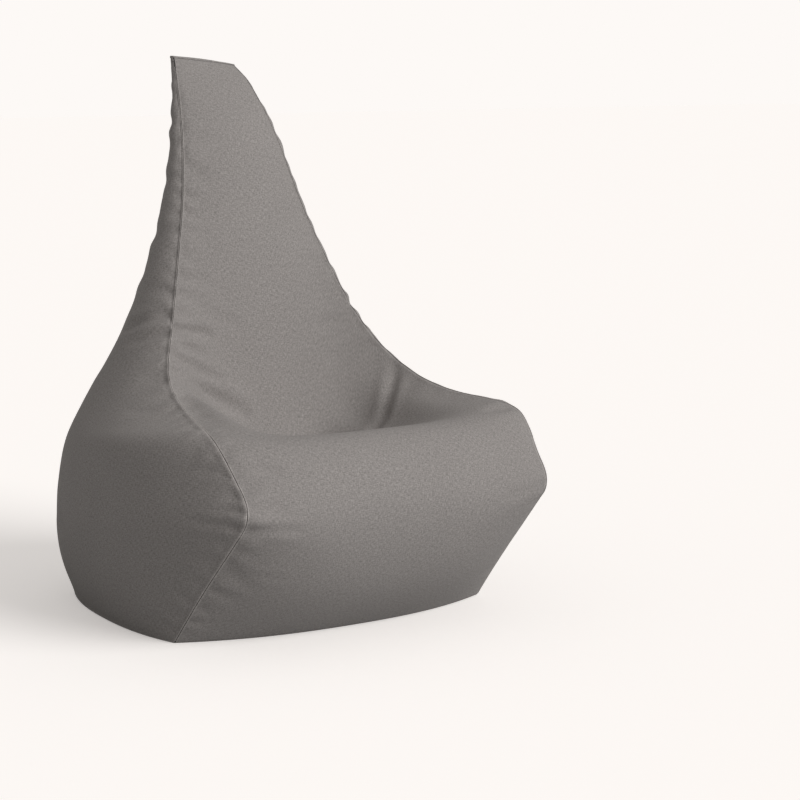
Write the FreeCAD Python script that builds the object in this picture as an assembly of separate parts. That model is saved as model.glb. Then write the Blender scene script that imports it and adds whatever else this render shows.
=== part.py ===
import FreeCAD, Part
import math
import os

# A high-backed bean bag chair. A woven cover of four standing panels, a base panel and a top
# binding is sewn round a thin inner liner, and the liner holds the bead fill. The cover and the
# liner each have their own zip across the back, so that the chair can be filled and washed.
#
# Frame: millimetres, +Z up, the sitter looks along -Y. The origin is on the floor, in the middle
# of the chair's box.

# ---- Overall size: the master pattern is graded to it ------------------------------------------
HEIGHT = 1100.0
WIDTH = 872.0
DEPTH = 944.0
PATTERN_SIZE = (872.0, 944.0, 1100.0)

# ---- Master pattern: four lines from the floor to the top, at the same stations ------------------
# Seam stations are (half width, y, z), and centre line stations are (y, z).
FRONT_SEAM = [
    (358, -190, 0), (352, -318, 140), (344, -432, 268), (343, -408, 335), (350, -335, 410),
    (318, -215, 424), (288, -95, 446), (262, -10, 492), (218, 50, 575), (170, 106, 708),
    (135, 147, 828), (106, 200, 969), (72, 292, 1100),
]
FRONT_CENTRE = [
    (-262, 0), (-385, 105), (-452, 225), (-452, 320), (-385, 397), (-270, 374), (-140, 315),
    (-25, 318), (38, 440), (75, 640), (118, 800), (175, 955), (288, 1096),
]
REAR_SEAM = [
    (312, 310, 0), (330, 334, 95), (334, 336, 180), (330, 330, 240), (320, 322, 300),
    (305, 312, 350), (282, 296, 405), (252, 278, 465), (212, 254, 550), (162, 234, 690),
    (128, 228, 820), (100, 248, 965), (72, 303, 1100),
]
REAR_CENTRE = [
    (405, 0), (464, 95), (482, 180), (478, 240), (462, 300), (440, 350), (408, 405), (370, 465),
    (325, 550), (277, 690), (257, 820), (270, 965), (300, 1098),
]
SIDE_BULGE = [60, 88, 98, 98, 90, 86, 77, 64, 50, 33, 23, 14, 0]  # outwards, at mid panel
FRONT_SQUARENESS = [2.4, 3, 3.2, 3.2, 3.2, 3.0, 2.8, 2.6, 2.4, 2.2, 2, 2, 2]
REAR_SQUARENESS = 2.2
SIDE_SQUARENESS = 2.4
NET_ACROSS = 13  # poles across a panel
NET_UP = 37  # poles from the floor to the top

# ---- Cover ---------------------------------------------------------------------------------------
COVER_THICKNESS = 1.0
SEAM_HALF_WIDTH = 1.0
SEAM_PROUD = 0.8  # how far a seam's ridge stands out of the cover
SEAM_DEPTH = 3.5  # how far its turned allowance reaches inwards
SEAM_CLEARANCE = 0.6
BASE_SEAM_LOW = 1.3
BASE_SEAM_HIGH = 3.7
BASE_SEAM_DEPTH = 10.0  # the base's turned allowance, which the liner lies on
BASE_EDGE_CLEARANCE = 0.5
SIDE_EDGE_AT_BASE = 4.8  # the panels' lower edges stop this far along the cloth above the floor
SEAM_END_AT_BASE = 7.0
TOP_BINDING_HEIGHT = 6.0
TOP_EDGE_GAP = 0.5  # from the binding down to the panels
SEAM_END_GAP = 1.2  # from the binding down to the seams
BASE_SEAM_END = 11.0  # from a base corner to the end of a base seam

# ---- Liner and fill --------------------------------------------------------------------------------
LINER_INSET = 7.0
LINER_THICKNESS = 0.8
LINER_FLOOR = 4.0
LINER_EDGE_CLEARANCE = 0.35
LINER_TOP_STATION = 11.35
FILL_GAP = 1.2  # between the liner and the beads
FILL_FLOOR_GAP = 0.3
FILL_TOP_STATIONS = 0.03  # how far below the liner's top the beads end, in stations

# ---- Zips: s runs along the zip, r out of the cloth, w up the cloth ----------------------------------
COVER_ZIP = {
    "height": 190.0,  # of the zip's middle above the floor
    "half_length": 160.0,
    "tape_half_width": 15.0,
    "tape_outer": -0.2,  # r of the tape's outer face
    "tape_thickness": 0.6,
    "tape_gap": 0.8,  # from the zip's middle to each tape
    "tape_end": 8.0,  # tape past the end stops
    "pitch": 5.0,
    "tooth_length": 2.0,
    "tooth_reach": 1.6,  # past the middle
    "tooth_root": 4.0,
    "tooth_top": 1.6,  # r of the teeth's outer face
    "slider_length": 14.0,
    "slider_half_width": 6.0,
    "slider_plate": 1.2,
}
LINER_ZIP = dict(
    COVER_ZIP,
    height=255.0,
    half_length=120.0,
    tape_half_width=12.0,
    pitch=4.0,
    tooth_length=1.6,
    tooth_reach=1.2,
    tooth_root=3.0,
    tooth_top=1.0,
    slider_length=11.0,
    slider_half_width=5.0,
    slider_plate=0.8,
)
TOOTH_SEAT = 0.05  # clearance between a tooth and its tape
SLIDER_CLEARANCE = 0.3
STOP_LENGTH = 3.0
WINDOW_CLEARANCE = 0.4  # between the tapes and the edge of the cloth
WINDOW_CUT_IN = 0.4  # how deep the opening is cut, as a share of a tape's half width
WINDOW_CUT_OUT = 6.0
EAR_INNER = 2.6  # the ears that carry the pull tab's pin
EAR_THICKNESS = 1.2
EAR_LENGTH = 4.0
EAR_ROUNDING = 0.35  # the ears' corner radius, as a share of their length
PIN_RADIUS = 0.75
PIN_RISE = 1.9  # from the slider's plate to the pin's axis
PULL_HOLE_RADIUS = 1.05
PULL_EYE_RADIUS = 1.6
PULL_THICKNESS = 1.6
PULL_NECK_HALF_WIDTH = 2.2
PULL_NECK_LENGTH = 9.0
PULL_HALF_WIDTH = 4.5
PULL_LENGTH = 30.0
PULL_CORNER = 2.5

UP = FreeCAD.Vector(0, 0, 1)
LAST = len(FRONT_SEAM) - 1
STEP = 1e-4
HALVINGS = 40
PANELS = ("front", "back", "left", "right")
BESIDE = {
    ("front", -1): ("left", -1),
    ("front", 1): ("right", -1),
    ("back", -1): ("left", 1),
    ("back", 1): ("right", 1),
    ("left", -1): ("front", -1),
    ("left", 1): ("back", -1),
    ("right", -1): ("front", 1),
    ("right", 1): ("back", 1),
}
INWARD_NORMALS = ("back", "left")


# ---- The shape of the bag ----------------------------------------------------------------------------
def natural_spline(values):
    """The natural cubic spline through values at t = 0, 1, 2 and on, as a function of t."""
    count = len(values)
    bends, ratios = [0.0] * count, [0.0] * count
    for i in range(1, count - 1):
        pivot = 4.0 - ratios[i - 1]
        ratios[i] = 1.0 / pivot
        bends[i] = (6.0 * (values[i + 1] - 2.0 * values[i] + values[i - 1]) - bends[i - 1]) / pivot
    for i in range(count - 2, 0, -1):
        bends[i] -= ratios[i] * bends[i + 1]

    def at(t):
        i = min(max(int(t), 0), count - 2)
        f = t - i
        g = 1.0 - f
        line = g * values[i] + f * values[i + 1]
        return line + ((g**3 - g) * bends[i] + (f**3 - f) * bends[i + 1]) / 6.0

    return at


def graded(stations):
    """Splines for x, y and z of a line of the pattern, graded to the overall size."""
    grade = [size / master for size, master in zip((WIDTH, DEPTH, HEIGHT), PATTERN_SIZE)]
    full = [s if len(s) == 3 else (0, *s) for s in stations]
    return [natural_spline([s[k] * grade[k] for s in full]) for k in range(3)]


front_seam = graded(FRONT_SEAM)
front_centre = graded(FRONT_CENTRE)
rear_seam = graded(REAR_SEAM)
rear_centre = graded(REAR_CENTRE)
side_bulge = natural_spline([b * WIDTH / PATTERN_SIZE[0] for b in SIDE_BULGE])
front_squareness = natural_spline(FRONT_SQUARENESS)


def at_station(line, t):
    return FreeCAD.Vector(*[axis(t) for axis in line])


def front_point(a, t):
    """A point of the front panel: a runs from -1 at the left seam to 1 at the right one."""
    seam, centre = at_station(front_seam, t), at_station(front_centre, t)
    p = centre + (seam - centre) * abs(a) ** front_squareness(t)
    return FreeCAD.Vector(a * seam.x, p.y, p.z)


def back_point(a, t):
    seam, centre = at_station(rear_seam, t), at_station(rear_centre, t)
    p = centre + (seam - centre) * abs(a) ** REAR_SQUARENESS
    return FreeCAD.Vector(a * seam.x, p.y, p.z)


def side_point(b, t, side):
    """A point of a side panel: b runs from -1 at the front seam to 1 at the rear one."""
    front, rear = at_station(front_seam, t), at_station(rear_seam, t)
    p = front + (rear - front) * (b + 1) / 2
    return FreeCAD.Vector(side * (p.x + side_bulge(t) * (1 - abs(b) ** SIDE_SQUARENESS)), p.y, p.z)


def surface_point(panel, a, t):
    if panel == "front":
        return front_point(a, t)
    if panel == "back":
        return back_point(a, t)
    return side_point(a, t, -1 if panel == "left" else 1)


def normal(panel, a, t):
    """The outward normal."""
    a_low, a_high = max(a - STEP, -1), min(a + STEP, 1)
    across = surface_point(panel, a_high, t) - surface_point(panel, a_low, t)
    up = surface_point(panel, a, t + STEP) - surface_point(panel, a, t - STEP)
    n = across.cross(up)
    if panel in INWARD_NORMALS:
        n = n * -1
    return n.normalize()


def both_normals(panel, a, t):
    """The normals of the two panels that meet at a seam, or the panel's own one twice."""
    own = normal(panel, a, t)
    if abs(a) < 1:
        return own, own
    other, b = BESIDE[panel, int(a)]
    return own, normal(other, b, t)


def inset_point(panel, a, t, depth):
    """The bag's surface moved inwards by depth, mitred at the seams."""
    own, other = both_normals(panel, a, t)
    return surface_point(panel, a, t) - (own + other) * (depth / (1 + own.dot(other)))


def spread(low, high, count):
    return [low + (high - low) * i / (count - 1) for i in range(count)]


def floor_station(panel, a, depth, floor):
    """The station at which the inset surface is as high as floor."""
    low, high = -1.0, 1.0
    for _ in range(HALVINGS):
        t = (low + high) / 2
        if inset_point(panel, a, t, depth).z < floor:
            low = t
        else:
            high = t
    return high


def stations_of(panel, a, depth, top, floor):
    """The stations of a panel's poles along one line, from the height floor to the station top."""
    low = 0.0 if floor is None else floor_station(panel, a, depth, floor)
    return spread(low, top, NET_UP)


def panel_net(panel, depth=0.0, top=float(LAST), floor=None):
    """Poles of a panel, one list per line from the floor up."""
    return [
        [inset_point(panel, a, t, depth) for t in stations_of(panel, a, depth, top, floor)]
        for a in spread(-1, 1, NET_ACROSS)
    ]


def panel_nets(*args):
    return {name: panel_net(name, *args) for name in PANELS}


# ---- Solids from nets ----------------------------------------------------------------------------------
def knots(count, degree):
    inner = count - degree - 1
    return list(range(inner + 2)), [degree + 1] + [1] * inner + [degree + 1]


def spline_surface(net):
    """A clamped B-spline surface on a net of poles, cubic wherever it has more than two."""
    degrees = [min(3, len(side) - 1) for side in (net, net[0])]
    (u_knots, u_mults), (v_knots, v_mults) = [
        knots(len(side), degree) for side, degree in zip((net, net[0]), degrees)
    ]
    surface = Part.BSplineSurface()
    surface.buildFromPolesMultsKnots(
        net, u_mults, v_mults, u_knots, v_knots, False, False, degrees[0], degrees[1]
    )
    return surface


def spline_edge(poles):
    curve = Part.BSplineCurve()
    curve_knots, mults = knots(len(poles), 3)
    curve.buildFromPolesMultsKnots(poles, mults, curve_knots, False, 3)
    return curve.toShape()


def flat_face(rows):
    """The flat face inside four rows of poles."""
    return Part.Face(Part.Wire(Part.__sortEdges__([spline_edge(row) for row in rows])))


def closed_solid(faces):
    shell = Part.makeShell(faces)
    shell.sewShape()
    if shell.ShapeType != "Shell":
        shell = shell.Shells[0]
    solid = Part.makeSolid(shell)
    if solid.Volume < 0:
        solid.reverse()
    if not solid.isValid():
        raise ValueError("a solid isn't valid")
    return solid


def border(net):
    """The four outer rows of a net."""
    return [net[0], net[-1], [line[0] for line in net], [line[-1] for line in net]]


def cloth(outer, inner):
    """A thin solid between two nets of the same size."""
    faces = [spline_surface(outer).toShape(), spline_surface(inner).toShape()]
    for out_row, in_row in zip(border(outer), border(inner)):
        faces.append(spline_surface([out_row, in_row]).toShape())
    return closed_solid(faces)


def pulled(point, towards, distance):
    return point + (towards - point).normalize() * distance


SHARPEST_HEM = 0.4  # the cosine of half the sharpest turn between two panels' normals


def hem_back(half_width, thickness, clearance, own, other):
    """How far a panel's edge stays from the seam line, so that it clears what is in the seam."""
    cos_half = max((own + other).Length / 2, SHARPEST_HEM)
    sin_half = math.sqrt(max(0.0, 1 - cos_half**2))
    return (half_width + clearance + thickness * sin_half) / cos_half


def cloth_panel(panel, thickness, half_width, clearance, edges, depth=0.0, top=float(LAST), floor=None):
    """A panel of cloth whose outer face lies at depth, with its edges held back from its seams."""
    net = panel_net(panel, depth, top, floor)
    for i, beside, a in ((0, 1, -1), (-1, -2, 1)):
        for j, t in enumerate(stations_of(panel, a, depth, top, floor)):
            back = hem_back(half_width, thickness, clearance, *both_normals(panel, a, t))
            net[i][j] = pulled(net[i][j], net[beside][j], back)
    for line in net:
        line[0] = pulled(line[0], line[1], edges[0])
        line[-1] = pulled(line[-1], line[-2], edges[1])
    inner = []
    for line, a in zip(net, spread(-1, 1, NET_ACROSS)):
        stations = stations_of(panel, a, depth, top, floor)
        inner.append([p - normal(panel, a, t) * thickness for p, t in zip(line, stations)])
    return cloth(net, inner)


def coons(front_row, back_row, left_row, right_row):
    """A net across the gap between four rows that meet at their ends."""
    net = []
    for i, a in enumerate(spread(0, 1, len(front_row))):
        line = []
        for j, b in enumerate(spread(0, 1, len(left_row))):
            across = front_row[i] * (1 - b) + back_row[i] * b
            along = left_row[j] * (1 - a) + right_row[j] * a
            front = front_row[0] * (1 - a) + front_row[-1] * a
            back = back_row[0] * (1 - a) + back_row[-1] * a
            line.append(across + along - front * (1 - b) - back * b)
        net.append(line)
    return net


def rows_at(nets, index):
    """The rows of the four panels at one height: front, back, left, right."""
    return [[line[index] for line in nets[name]] for name in PANELS]


# ---- Cover -----------------------------------------------------------------------------------------------
def cover_panel(panel):
    top_edge = TOP_BINDING_HEIGHT + TOP_EDGE_GAP
    edges = (SIDE_EDGE_AT_BASE, top_edge)
    return cloth_panel(panel, COVER_THICKNESS, SEAM_HALF_WIDTH, SEAM_CLEARANCE, edges)


def bar_along(line, ways, reaches):
    """A bar along a line of poles. ways gives two directions at each pole, and reaches its four sides."""
    (m_low, m_high), (w_low, w_high) = reaches
    corners = [(m_high, w_low), (m_high, w_high), (m_low, w_high), (m_low, w_low)]
    edges = [[p + m * x + w * y for p, (m, w) in zip(line, ways)] for x, y in corners]
    sides = [spline_surface([edges[k], edges[(k + 1) % 4]]).toShape() for k in range(4)]
    caps = [Part.Face(Part.makePolygon([e[k] for e in edges] + [edges[0][k]])) for k in (0, -1)]
    return closed_solid(sides + caps)


def directions(line):
    ends = [line[0]] + line + [line[-1]]
    return [(ends[k + 2] - ends[k]).normalize() for k in range(len(line))]


def standing_seam(panel, a):
    """The stitched ridge between two standing panels."""
    stations = spread(0.0, float(LAST), NET_UP)
    line = [surface_point(panel, a, t) for t in stations]
    line[0] = pulled(line[0], line[1], SEAM_END_AT_BASE)
    line[-1] = pulled(line[-1], line[-2], TOP_BINDING_HEIGHT + SEAM_END_GAP)
    ways = []
    for t, along in zip(stations, directions(line)):
        own, other = both_normals(panel, a, t)
        out = own + other
        out = (out - along * out.dot(along)).normalize()
        ways.append((out, along.cross(out)))
    reaches = (-SEAM_DEPTH, SEAM_PROUD), (-SEAM_HALF_WIDTH, SEAM_HALF_WIDTH)
    return bar_along(line, ways, reaches)


def base_seam(row):
    """The seam where a standing panel meets the base panel, lying flat just over the base."""
    line = [FreeCAD.Vector(p.x, p.y, 0) for p in row]
    line[0] = pulled(line[0], line[1], BASE_SEAM_END)
    line[-1] = pulled(line[-1], line[-2], BASE_SEAM_END)
    ways = []
    for p, along in zip(line, directions(line)):
        out = along.cross(UP)
        if out.dot(p) < 0:
            out = out * -1
        ways.append((out, UP))
    return bar_along(line, ways, ((-BASE_SEAM_DEPTH, SEAM_PROUD), (BASE_SEAM_LOW, BASE_SEAM_HIGH)))


def inward_row(row, distance):
    """A row of the base outline moved inwards on the floor."""
    moved = []
    for p, along in zip(row, directions(row)):
        out = along.cross(UP)
        if out.dot(p) < 0:
            out = out * -1
        moved.append(p - out * distance)
    return moved


def joined_ends(front, back, left, right):
    """The four rows with each corner put halfway between the two ends that meet there."""
    for row, k, other, m in (
        (front, 0, left, 0), (front, -1, right, 0), (back, 0, left, -1), (back, -1, right, -1),
    ):
        corner = (row[k] + other[m]) / 2
        row[k], other[m] = corner, FreeCAD.Vector(corner)
    return front, back, left, right


def base_panel(nets, z, thickness, clearance):
    rows = [inward_row([FreeCAD.Vector(p.x, p.y, z) for p in row], clearance) for row in rows_at(nets, 0)]
    return flat_face(joined_ends(*rows)).extrude(UP * thickness)


def top_binding(nets):
    """The bound edge that closes the narrow top between the front and back panels."""
    front, back = rows_at(nets, -1)[:2]
    front_below, back_below = rows_at(nets, -2)[:2]
    line = [(p + q) / 2 for p, q in zip(front, back)]
    ways = []
    for p, q, p_below, q_below in zip(front, back, front_below, back_below):
        out = (p - p_below).normalize() + (q - q_below).normalize()
        ways.append((out.normalize(), (q - p) / 2))
    return bar_along(line, ways, ((-TOP_BINDING_HEIGHT, 0.0), (-1.0, 1.0)))


# ---- Zips ------------------------------------------------------------------------------------------------
def hit_from_behind(surface, x, z):
    """Where the line along y at x and z meets a back panel's surface."""
    far = Part.LineSegment(FreeCAD.Vector(x, 0, z), FreeCAD.Vector(x, 2 * DEPTH, z))
    points = far.intersectCS(surface)[0]
    return FreeCAD.Vector(points[0].X, points[0].Y, points[0].Z)


class ZipPlace:
    """The arc that a zip runs along: a level arc that the back panel's own curve sets."""

    def __init__(self, surface, spec):
        middle = hit_from_behind(surface, 0, spec["height"])
        end = hit_from_behind(surface, spec["half_length"], spec["height"])
        above = hit_from_behind(surface, 0, spec["height"] + spec["tape_half_width"])
        below = hit_from_behind(surface, 0, spec["height"] - spec["tape_half_width"])
        fall = middle.y - end.y
        self.radius = (spec["half_length"] ** 2 + fall**2) / (2 * fall)
        self.centre = FreeCAD.Vector(0, middle.y - self.radius, 0)
        self.middle = middle
        self.lean = math.degrees(math.atan((above.y - below.y) / (2 * spec["tape_half_width"])))

    def put(self, shape, s):
        """A shape made at the zip's own s, r, w axes, moved to s along the arc."""
        shape = shape.copy()
        shape.rotate(FreeCAD.Vector(0, 0, 0), FreeCAD.Vector(1, 0, 0), -self.lean)
        shape.translate(self.middle)
        shape.rotate(self.centre, UP, math.degrees(s / self.radius))
        return shape

    def block(self, s, length, r, w):
        box = Part.makeBox(length, r[1] - r[0], w[1] - w[0], FreeCAD.Vector(-length / 2, r[0], w[0]))
        return self.put(box, s)

    def band(self, half_length, r, w):
        """A strip of the cloth's own curve from -half_length to half_length."""
        corners = [(r[0], w[0]), (r[1], w[0]), (r[1], w[1]), (r[0], w[1]), (r[0], w[0])]
        outline = Part.makePolygon([FreeCAD.Vector(0, y, z) for y, z in corners])
        face = self.put(Part.Face(outline), -half_length)
        return face.revolve(self.centre, UP, math.degrees(2 * half_length / self.radius))


def zip_tapes(place, spec):
    r = (spec["tape_outer"] - spec["tape_thickness"], spec["tape_outer"])
    half = spec["half_length"] + spec["tape_end"]
    upper = place.band(half, r, (spec["tape_gap"], spec["tape_half_width"]))
    lower = place.band(half, r, (-spec["tape_half_width"], -spec["tape_gap"]))
    return upper, lower


def zip_window(place, spec):
    """The cutter for the opening that the zip fills."""
    half = spec["half_length"] + spec["tape_end"] + WINDOW_CLEARANCE
    reach = spec["tape_half_width"] + WINDOW_CLEARANCE
    return place.band(half, (-WINDOW_CUT_IN * spec["tape_half_width"], WINDOW_CUT_OUT), (-reach, reach))


def zip_teeth(place, spec, side):
    """One row of moulded teeth, each a solid of its own. The two rows alternate along the zip."""
    r = (spec["tape_outer"] + TOOTH_SEAT, spec["tooth_top"])
    w = (-spec["tooth_reach"], spec["tooth_root"])
    if side < 0:
        w = (-w[1], -w[0])
    count = int((2 * spec["half_length"] - 3 * STOP_LENGTH) / spec["pitch"])
    start = -(count - 1) * spec["pitch"] / 2 + side * spec["pitch"] / 4
    teeth = [
        place.block(start + k * spec["pitch"], spec["tooth_length"], r, w) for k in range(count)
    ]
    return Part.makeCompound(teeth)


def zip_stops(place, spec):
    r = (spec["tape_outer"] + TOOTH_SEAT, spec["tooth_top"])
    w = (-spec["tooth_root"], spec["tooth_root"])
    at = spec["half_length"] - STOP_LENGTH / 2 + spec["pitch"]
    return Part.makeCompound([place.block(s, STOP_LENGTH, r, w) for s in (-at, at)])


def slider_rest(spec):
    """Where the slider stands when the zip is closed."""
    return spec["half_length"] + spec["pitch"] - STOP_LENGTH - spec["slider_length"] / 2 - SLIDER_CLEARANCE


def slider_top(spec):
    return spec["tooth_top"] + SLIDER_CLEARANCE + spec["slider_plate"]


def slider_body(spec):
    """A channel that rides over the teeth, at the zip's own axes."""
    length, half = spec["slider_length"], spec["slider_half_width"]
    low = slider_top(spec) - spec["slider_plate"]
    plate = Part.makeBox(length, spec["slider_plate"], 2 * half, FreeCAD.Vector(-length / 2, low, -half))
    wall = half - spec["tooth_root"] - SLIDER_CLEARANCE
    foot = spec["tape_outer"] + SLIDER_CLEARANCE
    for z in (-half, half - wall):
        side = Part.makeBox(length, low - foot, wall, FreeCAD.Vector(-length / 2, foot, z))
        plate = plate.fuse(side)
    return plate.removeSplitter()


def slider_with_ears(spec):
    """The slider with the two ears and the pin that carry the pull tab."""
    body, top = slider_body(spec), slider_top(spec)
    ear_height = PIN_RISE + PULL_EYE_RADIUS
    outer = EAR_INNER + EAR_THICKNESS
    for z in (-outer, EAR_INNER):
        ear = Part.makeBox(EAR_LENGTH, ear_height, EAR_THICKNESS, FreeCAD.Vector(-EAR_LENGTH / 2, top, z))
        corners = [e for e in ear.Edges if is_far_upright(e, top + ear_height)]
        ear = ear.makeFillet(EAR_ROUNDING * EAR_LENGTH, corners)
        body = body.fuse(ear)
    pin = Part.makeCylinder(PIN_RADIUS, 2 * outer, FreeCAD.Vector(0, top + PIN_RISE, -outer), UP)
    return body.fuse(pin).removeSplitter()


def is_far_upright(edge, y):
    """Whether an edge runs along z at that y."""
    box = edge.BoundBox
    return abs(box.YMin - y) < 0.01 and abs(box.YMax - y) < 0.01 and box.ZLength > 0.5 > box.XLength


def pull_tab(spec):
    """The tab that swings on the slider's pin, lying along the zip."""
    axis = slider_top(spec) + PIN_RISE
    low = axis - PULL_THICKNESS / 2
    neck = Part.makeBox(
        PULL_NECK_LENGTH + PULL_CORNER,
        PULL_THICKNESS,
        2 * PULL_NECK_HALF_WIDTH,
        FreeCAD.Vector(0, low, -PULL_NECK_HALF_WIDTH),
    )
    grip = Part.makeBox(
        PULL_LENGTH - PULL_NECK_LENGTH,
        PULL_THICKNESS,
        2 * PULL_HALF_WIDTH,
        FreeCAD.Vector(PULL_NECK_LENGTH, low, -PULL_HALF_WIDTH),
    )
    corners = [e for e in grip.Edges if e.BoundBox.YLength > PULL_THICKNESS / 2]
    grip = grip.makeFillet(PULL_CORNER, corners)
    eye_length = 2 * PULL_NECK_HALF_WIDTH
    start = FreeCAD.Vector(0, axis, -PULL_NECK_HALF_WIDTH)
    eye = Part.makeCylinder(PULL_EYE_RADIUS, eye_length, start, UP)
    hole = Part.makeCylinder(PULL_HOLE_RADIUS, eye_length, start, UP)
    return neck.fuse([grip, eye]).cut(hole).removeSplitter()


def zip_nodes(name, surface, spec, with_pull):
    place = ZipPlace(surface, spec)
    upper, lower = zip_tapes(place, spec)
    nodes = {
        name + "_zip_upper_tape": upper,
        name + "_zip_lower_tape": lower,
        name + "_zip_upper_teeth": zip_teeth(place, spec, 1),
        name + "_zip_lower_teeth": zip_teeth(place, spec, -1),
        name + "_zip_end_stops": zip_stops(place, spec),
    }
    rest = slider_rest(spec)
    if with_pull:
        nodes[name + "_zip_slider"] = place.put(slider_with_ears(spec), rest)
        nodes[name + "_zip_pull_tab"] = place.put(pull_tab(spec), rest)
    else:
        nodes[name + "_zip_slider"] = place.put(slider_body(spec), rest)
    travel = math.degrees(2 * rest / place.radius)
    print(name, "zip: centre y", round(place.centre.y, 3), "radius", round(place.radius, 2))
    print(name, "zip: lean", round(place.lean, 3), "slider travel", round(travel, 2), "degrees")
    pin = place.put(Part.Vertex(0, slider_top(spec) + PIN_RISE, 0), rest).Point
    top = place.put(Part.Vertex(0, slider_top(spec) + PIN_RISE, 1), rest).Point
    print(name, "zip: pin at", pin, "axis", top - pin)
    return nodes, zip_window(place, spec)


# ---- Assembly ----------------------------------------------------------------------------------------------
def cover_nodes():
    nets = panel_nets()
    nodes = {
        "cover_front_panel": cover_panel("front"),
        "cover_left_side_panel": cover_panel("left"),
        "cover_right_side_panel": cover_panel("right"),
        "cover_base_panel": base_panel(nets, 0.0, COVER_THICKNESS, BASE_EDGE_CLEARANCE),
        "cover_top_binding": top_binding(nets),
        "seam_front_left": standing_seam("front", -1),
        "seam_front_right": standing_seam("front", 1),
        "seam_rear_left": standing_seam("back", -1),
        "seam_rear_right": standing_seam("back", 1),
    }
    for name, row in zip(("front", "rear", "left", "right"), rows_at(nets, 0)):
        nodes["seam_base_" + name] = base_seam(row)
    zip_pieces, window = zip_nodes("cover", spline_surface(nets["back"]), COVER_ZIP, True)
    nodes["cover_back_panel"] = cover_panel("back").cut(window)
    nodes.update(zip_pieces)
    return nodes


def liner_nodes():
    nets = panel_nets(LINER_INSET, LINER_TOP_STATION, LINER_FLOOR)
    edges = (LINER_THICKNESS + LINER_EDGE_CLEARANCE, 0.0)
    nodes = {
        "liner_" + panel + "_panel": cloth_panel(
            panel, LINER_THICKNESS, 0.0, LINER_EDGE_CLEARANCE, edges,
            LINER_INSET, LINER_TOP_STATION, LINER_FLOOR,
        )
        for panel in PANELS
    }
    nodes["liner_base_panel"] = base_panel(nets, LINER_FLOOR, LINER_THICKNESS, LINER_EDGE_CLEARANCE)
    inside = LINER_INSET + LINER_THICKNESS + LINER_EDGE_CLEARANCE
    top = coons(*rows_at(panel_nets(inside, LINER_TOP_STATION, LINER_FLOOR), -1))
    nodes["liner_top_panel"] = cloth(top, [[p - UP * LINER_THICKNESS for p in line] for line in top])
    zip_pieces, window = zip_nodes("liner", spline_surface(nets["back"]), LINER_ZIP, False)
    nodes["liner_back_panel"] = nodes["liner_back_panel"].cut(window)
    nodes.update(zip_pieces)
    return nodes


def bead_fill():
    """The space that the beads take up inside the liner."""
    nets = panel_nets(
        LINER_INSET + LINER_THICKNESS + FILL_GAP,
        LINER_TOP_STATION - FILL_TOP_STATIONS,
        LINER_FLOOR + LINER_THICKNESS + FILL_FLOOR_GAP,
    )
    faces = [spline_surface(net).toShape() for net in nets.values()]
    faces.append(spline_surface(coons(*rows_at(nets, -1))).toShape())
    faces.append(flat_face(rows_at(nets, 0)))
    return closed_solid(faces)


def centred(nodes):
    """Every node moved so that the origin is under the middle of the chair's box."""
    box = FreeCAD.BoundBox()
    for shape in nodes.values():
        box.add(shape.optimalBoundingBox(False, False))
    shift = FreeCAD.Vector(-box.Center.x, -box.Center.y, 0)
    print("box", round(box.XLength, 2), round(box.YLength, 2), round(box.ZLength, 2), "shift", shift)
    for shape in nodes.values():
        shape.translate(shift)
    return nodes


os.makedirs("parts", exist_ok=True)
parts = centred({**cover_nodes(), **liner_nodes(), "bead_fill": bead_fill()})
for node, solid in sorted(parts.items()):
    solid.exportStep(os.path.join("parts", node + ".step"))
    volume = round(solid.Volume / 1000, 1)
    print(node, len(solid.Solids), "solids, valid", solid.isValid(), "volume", volume, "cm3")
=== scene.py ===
# %% [markdown]
# # A high-backed bean bag lounger
# The chair is a sewn bag: four standing panels, a base and a narrow bound top, filled with loose
# beads. Construction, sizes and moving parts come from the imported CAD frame. This script gives the
# soft parts their real look: a cloth cover that puffs between its seams, gathers along them and
# folds where the seat is pressed in.

# %% Load the frame
import math
import time

import bmesh
import bpy
import numpy as np
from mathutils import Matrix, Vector
from mathutils.kdtree import KDTree


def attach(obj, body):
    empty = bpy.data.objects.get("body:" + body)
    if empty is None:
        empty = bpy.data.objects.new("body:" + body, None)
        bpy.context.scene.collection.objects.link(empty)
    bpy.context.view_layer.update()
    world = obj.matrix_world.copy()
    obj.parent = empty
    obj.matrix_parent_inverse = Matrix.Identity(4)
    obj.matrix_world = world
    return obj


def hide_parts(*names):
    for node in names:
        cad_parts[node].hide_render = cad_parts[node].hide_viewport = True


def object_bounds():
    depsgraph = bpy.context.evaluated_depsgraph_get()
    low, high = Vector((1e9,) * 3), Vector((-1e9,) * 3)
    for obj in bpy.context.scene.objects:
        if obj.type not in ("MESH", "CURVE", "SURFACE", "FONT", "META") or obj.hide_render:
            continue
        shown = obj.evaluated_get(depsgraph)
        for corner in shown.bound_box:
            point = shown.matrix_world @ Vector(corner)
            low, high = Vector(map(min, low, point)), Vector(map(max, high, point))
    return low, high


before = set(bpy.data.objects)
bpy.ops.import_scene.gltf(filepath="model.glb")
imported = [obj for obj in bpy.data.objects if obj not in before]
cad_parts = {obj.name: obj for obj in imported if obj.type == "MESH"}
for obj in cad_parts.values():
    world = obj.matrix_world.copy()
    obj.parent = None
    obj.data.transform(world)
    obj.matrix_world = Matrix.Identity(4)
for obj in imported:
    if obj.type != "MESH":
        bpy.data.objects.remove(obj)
cad_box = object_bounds()
MM = 0.001
low, high = Vector(cad_box[0]), Vector(cad_box[1])
size = high - low

# %% [markdown]
# ## Camera
# A long lens from the front left, a little above the backrest's top, keeps the tall shape
# undistorted. A wide lens from nearby would swell the apron and shrink the backrest.

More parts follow.
